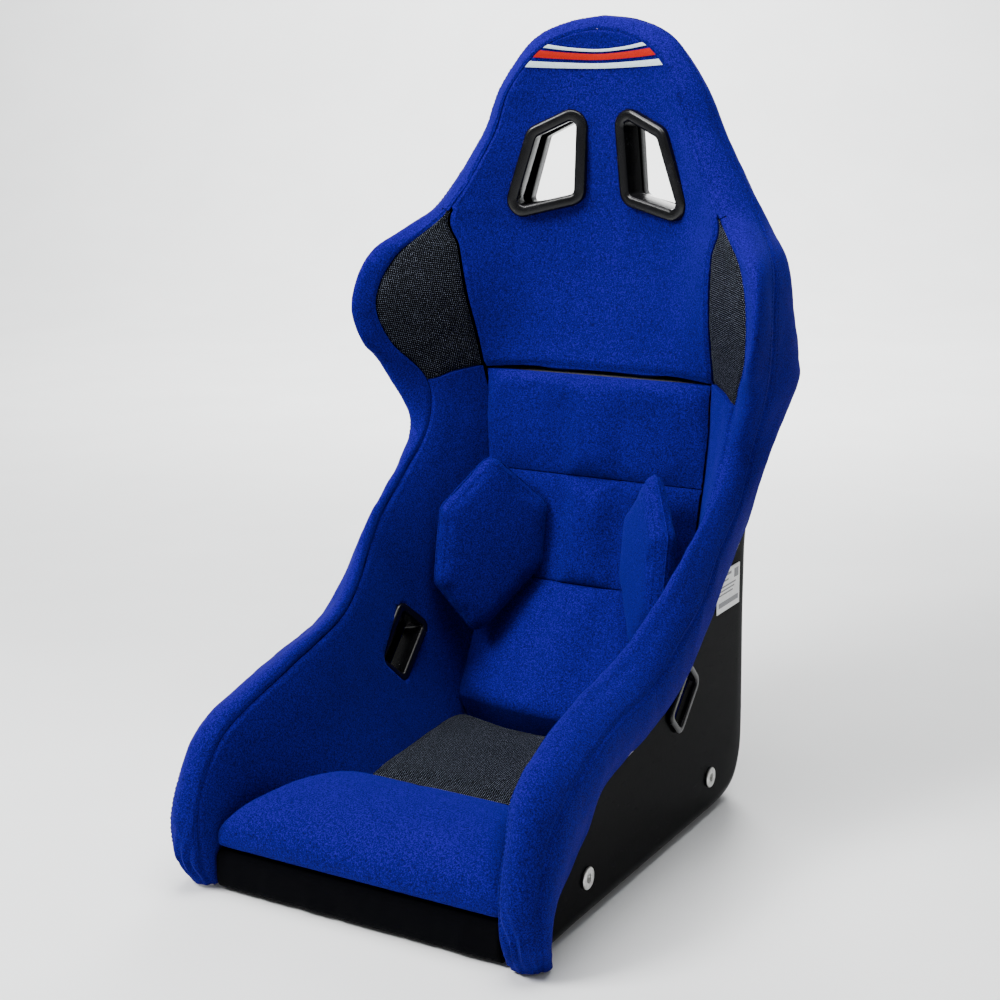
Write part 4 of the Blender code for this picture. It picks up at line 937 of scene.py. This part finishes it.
def planar_cloth(mesh):
    """UV in metres from above, so that the weave runs straight across the piece."""
    co = coordinates(mesh)
    set_cloth_uv(mesh, np.stack([co[:, 0], co[:, 1] + 0.7 * co[:, 2]], 1))


def make_seat_cushions(samples):
    parts = (
        ("seat_cushion", SEAT_TOP, "mesh_cloth", "black_mesh", SEAT_REAR_CURVE, 0.0025),
        ("thigh_cushion", THIGH_TOP, "felt", "blue_felt", 0.0, 0.0045),
    )
    for node, top_line, look, finish, rear_curve, cap in parts:
        across = np.sign(np.linspace(-1, 1, 41)) * np.abs(np.linspace(-1, 1, 41)) ** 0.6
        places = spans(0.0, 4 * (len(top_line) - 1), len(top_line) - 1.0)
        line = along(top_line, places)
        top = np.zeros((len(line), len(across), 3))
        bottom = top.copy()
        for i, (y, z) in enumerate(line):
            deep = z - CUSHION_UNDERSIDE
            foot = wall_x(samples, y, CUSHION_UNDERSIDE) - CUSHION_GAP
            for j, c in enumerate(across):
                height = z - deep * 0.45 * abs(c) ** 14
                half = wall_x(samples, y, height) - CUSHION_GAP * 0.7
                bend = rear_curve * (c * half / 0.12) ** 2 * max(0.0, y) / 0.107
                top[i, j] = half * c, y + bend, height
                bottom[i, j] = min(foot, half) * c, y + bend, CUSHION_UNDERSIDE
        piece = slab(node + "_shape", top, bottom, look)
        inflate(piece, CUSHION_VOXEL, cap, pinned=lambda co: co[:, 2] < CUSHION_UNDERSIDE + 0.004)
        planar_cloth(piece.data)
        piece.name = node + "_stuffed"
        settle(piece, finish, node, fill=0.8, body=CUSHION_BODY)
        if node == "thigh_cushion":
            tree = tree_of(piece.data)
            edges = [top[6 : len(line) - 6, nearest(across, c)] for c in (-0.93, 0.93)]
            stitched("thigh_stitching", [hugged(tree, edge) for edge in edges], body=CUSHION_BODY)


def make_kidney_pads():
    out = np.array([math.cos(KIDNEY_TURN), -math.sin(KIDNEY_TURN), 0.0])
    up = unit(np.array(KIDNEY_UP))
    inward = np.cross(out, up)
    centre = np.array(KIDNEY_CENTRE)
    outline = rounded_outline(KIDNEY_OUTLINE, KIDNEY_CORNER)
    profile = (
        (0.02, 0.0076), (0.25, 0.0073), (0.50, 0.0066), (0.70, 0.0056), (0.85, 0.0040), (0.94, 0.0018),
        (0.985, -0.0010), (1.00, -0.0045), (0.995, -0.0075), (0.96, -0.0098), (0.88, -0.0108), (0.50, -0.0112),
        (0.02, -0.0112),
    )

    def shaped(scale, height):
        across, rise = (outline * scale).T
        wedge = np.where(height < 0, 1.42 + 0.78 * across / KIDNEY_HALF_WIDTH, 1.0)
        return centre + np.outer(across, out) + np.outer(rise, up) + np.outer(height * wedge, inward)

    def ring_on(tree, scale, height, side, lift=0.0):
        ring = mirrored(shaped(scale, height), side)
        return hugged(tree, np.concatenate([ring, ring[:1]]), lift)

    for side, tag in SIDES:
        body = "kidney_" + tag
        piece = loops_body("kidney_pad_shape_" + tag, [shaped(*row) for row in profile], "felt", side)
        inflate(piece, KIDNEY_VOXEL, KIDNEY_SWELL)
        piece.name = "kidney_pad_stuffed_" + tag
        settle(piece, "blue_felt", "kidney_pad_" + tag, fill=0.85, body=body)
        tree = tree_of(piece.data)
        line = ring_on(tree, 1.0, -0.0040, side, 0.0004)[0]
        piping = tube("kidney_piping_" + tag, line[:-1], KIDNEY_PIPING, "felt", closed=True)
        settle(piping, "blue_felt", body=body)
        stitched("kidney_stitching_" + tag, [ring_on(tree, 0.90, 0.0030, side)], body=body)


def make_front_lip():
    profile = np.array((
        (-0.2515, 0.0030), (-0.2600, 0.0045), (-0.2640, 0.0120), (-0.2640, 0.0330), (-0.2600, 0.0415),
        (-0.2500, 0.0435), (-0.2300, 0.0435), (-0.2300, 0.0400), (-0.2490, 0.0395), (-0.2560, 0.0375),
        (-0.2590, 0.0320), (-0.2590, 0.0130), (-0.2560, 0.0085), (-0.2515, 0.0075),
    ))
    ring = along(np.concatenate([profile, profile[:1]]), spans(0.0, 70, 14.0))[:-1]
    loops = []
    for x in spans(-0.163, 70, 0.163):
        loop = np.column_stack([np.full(len(ring), x), ring])
        sag = 0.0007 * ripple(loop, 0.05, 40) + 0.0004 * ripple(loop, 0.016, 41)
        loop[:, 1] += sag * (ring[:, 0] < -0.2595)
        loops.append(loop)
    settle(loops_body("front_lip_cloth", loops, "plain_cloth"), "black_cloth", "front_lip")


def make_hidden_foam():
    """Foam blocks and hook tapes under and behind the loose cushions."""
    for node in ("base_foam", "back_lining"):
        piece = linked(node + "_block", frame["nodes"][node].data.copy())
        piece.data.materials.clear()
        piece.data.materials.append(LOOKS["foam"])
        modify(piece, "REMESH", mode="VOXEL", voxel_size=FOAM_VOXEL)
        modify(piece, "SMOOTH", iterations=2)
        shade_smooth(applied(piece).data)
        settle(piece, "grey_foam", node, fill=1.0)
    for node in ("seat_tape_front", "seat_tape_rear", "back_tape_left", "back_tape_right"):
        frame["nodes"][node].material_slots[0].material = LOOKS["tape"]


class Look:
    """A procedural material: Principled shader with small helpers to wire texture nodes."""

    def __init__(self, name, colour, roughness, **inputs):
        self.material = bpy.data.materials.new(name)
        self.material.use_nodes = True
        self.nodes = self.material.node_tree.nodes
        self.links = self.material.node_tree.links
        self.shader = self.nodes["Principled BSDF"]
        self.feed(self.shader.inputs["Base Color"], colour)
        self.feed(self.shader.inputs["Roughness"], roughness)
        for name, value in inputs.items():
            self.feed(self.shader.inputs[name.replace("_", " ")], value)
        self.place = self.nodes.new("ShaderNodeTexCoord")

    def feed(self, socket, value):
        """A colour or a number is set on the socket; anything else is linked to it."""
        if isinstance(value, tuple):
            socket.default_value = (*value, 1.0)
        elif isinstance(value, (int, float)):
            socket.default_value = value
        else:
            self.links.new(value, socket)

    def noise(self, scale, detail=3.0, rough=0.6, stretch=None):
        node = self.nodes.new("ShaderNodeTexNoise")
        for name, value in (("Scale", scale), ("Detail", detail), ("Roughness", rough)):
            node.inputs[name].default_value = value
        source = self.place.outputs["Object"]
        if stretch is not None:
            mapping = self.nodes.new("ShaderNodeMapping")
            mapping.inputs["Scale"].default_value = stretch
            self.links.new(source, mapping.inputs["Vector"])
            source = mapping.outputs["Vector"]
        self.links.new(source, node.inputs["Vector"])
        return node.outputs["Fac"]

    def cells(self, scale, randomness=1.0):
        node = self.nodes.new("ShaderNodeTexVoronoi")
        node.inputs["Scale"].default_value = scale
        node.inputs["Randomness"].default_value = randomness
        self.links.new(self.place.outputs["Object"], node.inputs["Vector"])
        return node.outputs["Distance"]

    def axes(self, space):
        node = self.nodes.new("ShaderNodeSeparateXYZ")
        self.links.new(self.place.outputs[space], node.inputs[0])
        return node.outputs

    def math(self, operation, first, second=0.0):
        node = self.nodes.new("ShaderNodeMath")
        node.operation = operation
        self.feed(node.inputs[0], first)
        self.feed(node.inputs[1], second)
        return node.outputs[0]

    def times(self, first, second):
        return self.math("MULTIPLY", first, second)

    def plus(self, first, second):
        return self.math("ADD", first, second)

    def ramp(self, factor, *stops):
        node = self.nodes.new("ShaderNodeValToRGB")
        elements = node.color_ramp.elements
        while len(elements) < len(stops):
            elements.new(0.5)
        for element, (position, colour) in zip(elements, stops):
            element.position = position
            element.color = (*colour, 1.0)
        self.links.new(factor, node.inputs["Fac"])
        return node.outputs["Color"]

    def multiplied(self, first, second):
        node = self.nodes.new("ShaderNodeMix")
        node.data_type = "RGBA"
        node.blend_type = "MULTIPLY"
        for socket, value in ((node.inputs[0], 1.0), (node.inputs[6], first), (node.inputs[7], second)):
            self.feed(socket, value)
        return node.outputs[2]

    def colour(self, output):
        self.links.new(output, self.shader.inputs["Base Color"])

    def roughness(self, factor, low, high):
        node = self.nodes.new("ShaderNodeMapRange")
        node.inputs["To Min"].default_value = low
        node.inputs["To Max"].default_value = high
        self.links.new(factor, node.inputs["Value"])
        self.links.new(node.outputs[0], self.shader.inputs["Roughness"])

    def bump(self, *heights):
        """Heights are (factor, distance in metres), stacked."""
        below = None
        for factor, distance in heights:
            node = self.nodes.new("ShaderNodeBump")
            node.inputs["Distance"].default_value = distance
            self.links.new(factor, node.inputs["Height"])
            if below is not None:
                self.links.new(below, node.inputs["Normal"])
            below = node.outputs["Normal"]
        self.links.new(below, self.shader.inputs["Normal"])


def scaled(colour, factor):
    return tuple(min(1.0, channel * factor) for channel in colour)


def fibre_cloth(name, colour, contrast, sheen, tint):
    """Brushed knit: speckled fibres, slow shade changes and a soft sheen."""
    look = Look(
        name, colour, 0.92, Sheen_Weight=sheen, Sheen_Roughness=0.45, Sheen_Tint=tint, Specular_IOR_Level=0.04
    )
    grain = look.noise(640.0, 4.0, 0.75)
    fine = look.noise(1700.0, 2.0, 0.6)
    speckle = look.plus(look.times(grain, 0.65), look.times(fine, 0.35))
    dark, pale = scaled(colour, 1 - contrast), scaled(colour, 1 + 1.6 * contrast)
    base = look.ramp(speckle, (0.40, dark), (0.50, colour), (0.60, pale))
    shade = look.ramp(look.noise(9.0, 3.0, 0.55), (0.35, (0.86, 0.88, 0.90)), (0.65, (1.0, 1.0, 1.0)))
    look.colour(look.multiplied(base, shade))
    look.roughness(grain, 0.84, 0.98)
    look.bump((grain, 0.00050), (fine, 0.00020))
    return look.material


def spacer_mesh(name, colour, crest_highlight):
    """Black spacer mesh: rows of small raised loops along both diagonals of the cloth, with a painted highlight
    in pale blue-grey on each loop's crest.
    """
    look = Look(name, colour, 0.70, Specular_IOR_Level=0.05)
    cloth = look.axes("UV")
    wobble = look.times(look.math("SUBTRACT", look.noise(240.0, 2.0), 0.5), 1.1)
    wave = []
    for sign in ("ADD", "SUBTRACT"):
        diagonal = look.math(sign, cloth[0], cloth[1])
        wave.append(look.math("SINE", look.plus(look.times(diagonal, 2 * math.pi / MESH_PITCH), wobble)))
    grain = look.noise(1500.0, 2.0)
    height = look.plus(look.times(look.times(wave[0], wave[1]), 0.5), 0.5)
    lit = look.plus(height, look.times(look.math("SUBTRACT", grain, 0.5), 0.45))
    # painted highlight: the highest parts of the loops are coloured pale blue-grey, where light would catch
    # them
    look.colour(look.ramp(lit, (0.78, colour), (0.93, scaled(crest_highlight, 0.28)), (1.0, scaled(crest_highlight, 1.6))))
    look.bump((height, 0.0009), (grain, 0.0002))
    return look.material


def plain_weave(name, colour, pitch, depth):
    """Tight plain weave in the directions of the object's own axes."""
    look = Look(name, colour, 0.85, Specular_IOR_Level=0.03)
    x, y, z = look.axes("Object")
    rows = look.math("SINE", look.times(x, 2 * math.pi / pitch))
    lines = look.math("SINE", look.times(look.plus(z, y), 2 * math.pi / pitch))
    weave = look.plus(look.times(look.times(rows, lines), 0.5), 0.5)
    grain = look.noise(900.0, 3.0)
    mixed = look.plus(look.times(weave, 0.5), look.times(grain, 0.5))
    look.colour(look.ramp(mixed, (0.30, scaled(colour, 0.65)), (0.75, scaled(colour, 1.5))))
    look.bump((weave, depth), (grain, depth * 0.5))
    return look.material


def gel_coat(name, colour):
    """Gloss shell: faint orange peel, and dulling dust and hairline scuffs."""
    look = Look(name, colour, 0.30, IOR=1.06)
    peel = look.noise(170.0, 2.0, 0.5)
    scuffs = look.noise(55.0, 6.0, 0.75, (1.0, 1.0, 6.0))
    look.roughness(scuffs, 0.16, 0.34)
    look.colour(look.ramp(look.noise(14.0, 3.0), (0.3, colour), (0.8, scaled(colour, 1.9))))
    look.bump((peel, 0.00006), (scuffs, 0.00002))
    return look.material


def moulded_plastic(name, colour):
    """Semi-gloss moulded trim: fine leather-like grain, with paler rubbed patches."""
    look = Look(name, colour, 0.30, Specular_IOR_Level=0.28)
    rub = look.noise(60.0, 4.0, 0.7)
    look.roughness(rub, 0.16, 0.34)
    look.colour(look.ramp(rub, (0.45, colour), (0.85, scaled(colour, 2.6))))
    look.bump((look.noise(900.0, 3.0, 0.55), 0.00008))
    return look.material


def plated_steel(name):
    look = Look(name, (0.60, 0.60, 0.58), 0.32, Metallic=1.0)
    stain = look.noise(260.0, 4.0, 0.65)
    brushed = look.noise(700.0, 2.0, 0.5, (1.0, 6.0, 1.0))
    look.colour(look.ramp(stain, (0.30, (0.42, 0.41, 0.38)), (0.62, (0.66, 0.66, 0.64))))
    look.roughness(brushed, 0.22, 0.48)
    look.bump((brushed, 0.00003))
    return look.material


def printed_film(name, colour, dark):
    look = Look(name, colour, 0.42, Coat_Weight=0.25)
    fibre = look.noise(300.0, 3.0)
    look.colour(look.ramp(fibre, (0.3, dark), (0.7, colour)))
    look.roughness(fibre, 0.32, 0.5)
    look.bump((fibre, 0.00002))
    return look.material


def cellular(name, roughness, scale, randomness, depth, near, far):
    """Foam cells or hook tape: cells shaded and raised by the distance from their centres."""
    look = Look(name, near[1], roughness)
    cells = look.cells(scale, randomness)
    look.colour(look.ramp(cells, near, far))
    look.bump((cells, depth))
    return look.material


FELT_BLUE = (0.0066, 0.0014, 0.108)
MESH_PITCH = 0.0046


def make_looks():
    return {
        "felt": fibre_cloth("blue_felt_look", FELT_BLUE, 0.80, 0.14, (0.06, 0.10, 1.0)),
        "thread": fibre_cloth("blue_thread_look", scaled(FELT_BLUE, 0.7), 0.30, 0.05, (0.03, 0.10, 1.0)),
        # the second colour of the black mesh is a painted highlight on the crests of its loops
        "mesh_cloth": spacer_mesh("black_mesh_look", (0.0005, 0.0007, 0.0014), (0.20, 0.23, 0.30)),
        "plain_cloth": plain_weave("black_cloth_look", (0.0008, 0.0009, 0.0016), 0.0012, 0.0002),
        "hem": plain_weave("hem_look", (0.30, 0.31, 0.34), 0.0010, 0.0001),
        "stripe_pale": plain_weave("stripe_pale_look", (0.50, 0.62, 0.70), 0.0010, 0.0001),
        "stripe_red": plain_weave("stripe_red_look", (0.34, 0.010, 0.006), 0.0010, 0.0001),
        "shell": gel_coat("gloss_shell_look", (0.0008, 0.0008, 0.0011)),
        "trim": moulded_plastic("moulded_trim_look", (0.0020, 0.0020, 0.0025)),
        "steel": plated_steel("zinc_steel_look"),
        "label": printed_film("label_white_look", (0.80, 0.80, 0.79), (0.70, 0.70, 0.69)),
        "label_ink": printed_film("label_ink_look", (0.16, 0.16, 0.17), (0.11, 0.11, 0.12)),
        "foam": cellular(
            "foam_look", 0.95, 650.0, 1.0, 0.0006, (0.1, (0.085, 0.085, 0.090)), (0.6, (0.035, 0.035, 0.038))
        ),
        "tape": cellular(
            "hook_tape_look", 0.7, 800.0, 0.25, 0.0008, (0.0, (0.05, 0.05, 0.055)), (0.5, (0.008, 0.008, 0.009))
        ),
    }


def area_light(name, place_at, target, size, energy):
    data = bpy.data.lights.new(name, "AREA")
    data.shape = "RECTANGLE"
    data.size, data.size_y = size
    data.energy = energy
    light = linked(name, data)
    light.location = place_at
    light.rotation_euler = (Vector(target) - Vector(place_at)).to_track_quat("-Z", "Y").to_euler()


# Name, place, point aimed at, size and watts.
LIGHTS = (
    ("key_light", (-1.15, -1.5, 2.1), (0.0, 0.0, 0.45), (0.9, 0.9), 112.0),
    ("top_light", (0.05, -0.15, 1.9), (0.0, -0.05, 0.5), (1.3, 0.9), 46.0),
    ("side_light", (2.2, -0.8, 1.5), (0.1, 0.0, 0.35), (1.0, 1.4), 3.0),
    ("back_light", (-0.9, 2.3, 1.6), (0.0, 0.1, 0.45), (1.2, 1.4), 45.0),
    ("backdrop_light", (-1.0, 2.6, 2.8), (-2.6, 5.2, 0.6), (3.0, 1.2), 420.0),
)


def make_stage():
    """Pale seamless floor and backdrop, soft studio light and a bright plain surround."""
    profile = [(y, 0.0) for y in np.linspace(-9.0, 4.0, 20)]
    profile += [(4.0 + 2.0 * math.sin(a), 2.0 - 2.0 * math.cos(a)) for a in np.linspace(0.1, math.pi / 2, 12)]
    profile += [(6.0, z) for z in np.linspace(2.4, 6.0, 8)]
    xs = np.linspace(-9.0, 9.0, 24)
    points = [(x, y, z - 0.0002) for y, z in profile for x in xs]
    mesh = bpy.data.meshes.new("studio_floor")
    mesh.from_pydata(points, [], grid_faces(len(profile), len(xs)))
    shade_smooth(mesh)
    look = Look("studio_floor_look", (0.86, 0.87, 0.87), 0.55)
    look.colour(look.ramp(look.noise(3.0, 2.0), (0.3, (0.84, 0.85, 0.85)), (0.7, (0.88, 0.89, 0.89))))
    mesh.materials.append(look.material)
    floor = linked("studio_floor", mesh)
    floor.rotation_euler = (0.0, 0.0, math.radians(CAMERA_AZIMUTH))
    world = bpy.data.worlds.new("studio_surround")
    bpy.context.scene.world = world
    world.use_nodes = True
    surround = world.node_tree.nodes["Background"].inputs
    surround["Color"].default_value = (0.95, 0.97, 1.0, 1.0)
    surround["Strength"].default_value = 0.26
    for light in LIGHTS:
        area_light(*light)


CAMERA_AZIMUTH = 30.6241
CAMERA_ELEVATION = 10.4876
CAMERA_ROLL = -0.4748
CAMERA_DISTANCE = 1.8279
CAMERA_AIM = Vector((0.0, 0.0, 0.45))
CAMERA_LENS = 63.6
CAMERA_SHIFT = (0.0115, -0.0796)


def make_camera():
    azimuth, elevation, roll = (math.radians(a) for a in (CAMERA_AZIMUTH, CAMERA_ELEVATION, CAMERA_ROLL))
    back = Vector((
        math.sin(azimuth) * math.cos(elevation), -math.cos(azimuth) * math.cos(elevation), math.sin(elevation)
    ))
    right = Vector((math.cos(azimuth), math.sin(azimuth), 0.0))
    up = back.cross(right)
    tilted_right = right * math.cos(roll) + up * math.sin(roll)
    tilted_up = up * math.cos(roll) - right * math.sin(roll)
    data = bpy.data.cameras.new("photo_camera")
    data.sensor_width = 36.0
    data.lens = CAMERA_LENS
    data.shift_x, data.shift_y = CAMERA_SHIFT
    data.clip_start = 0.05
    data.clip_end = 60.0
    camera = linked("photo_camera", data)
    place_at = CAMERA_AIM + back * CAMERA_DISTANCE
    camera.matrix_world = Matrix((
        (tilted_right.x, tilted_up.x, back.x, place_at.x),
        (tilted_right.y, tilted_up.y, back.y, place_at.y),
        (tilted_right.z, tilted_up.z, back.z, place_at.z),
        (0.0, 0.0, 0.0, 1.0),
    ))
    bpy.context.scene.camera = camera


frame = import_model()
LOOKS = make_looks()
make_camera()
make_stage()
make_rolls()
make_hem()
make_side_pads()
make_shoulder_mesh()
make_head()
make_upper_pad()
make_stripes()
make_trims()
shell_sheet = make_shell()
make_inserts()
make_label(shell_sheet)
cushion_samples = wall_samples()
make_back_cushions(cushion_samples)
make_seat_cushions(cushion_samples)
make_kidney_pads()
make_front_lip()
make_hidden_foam()
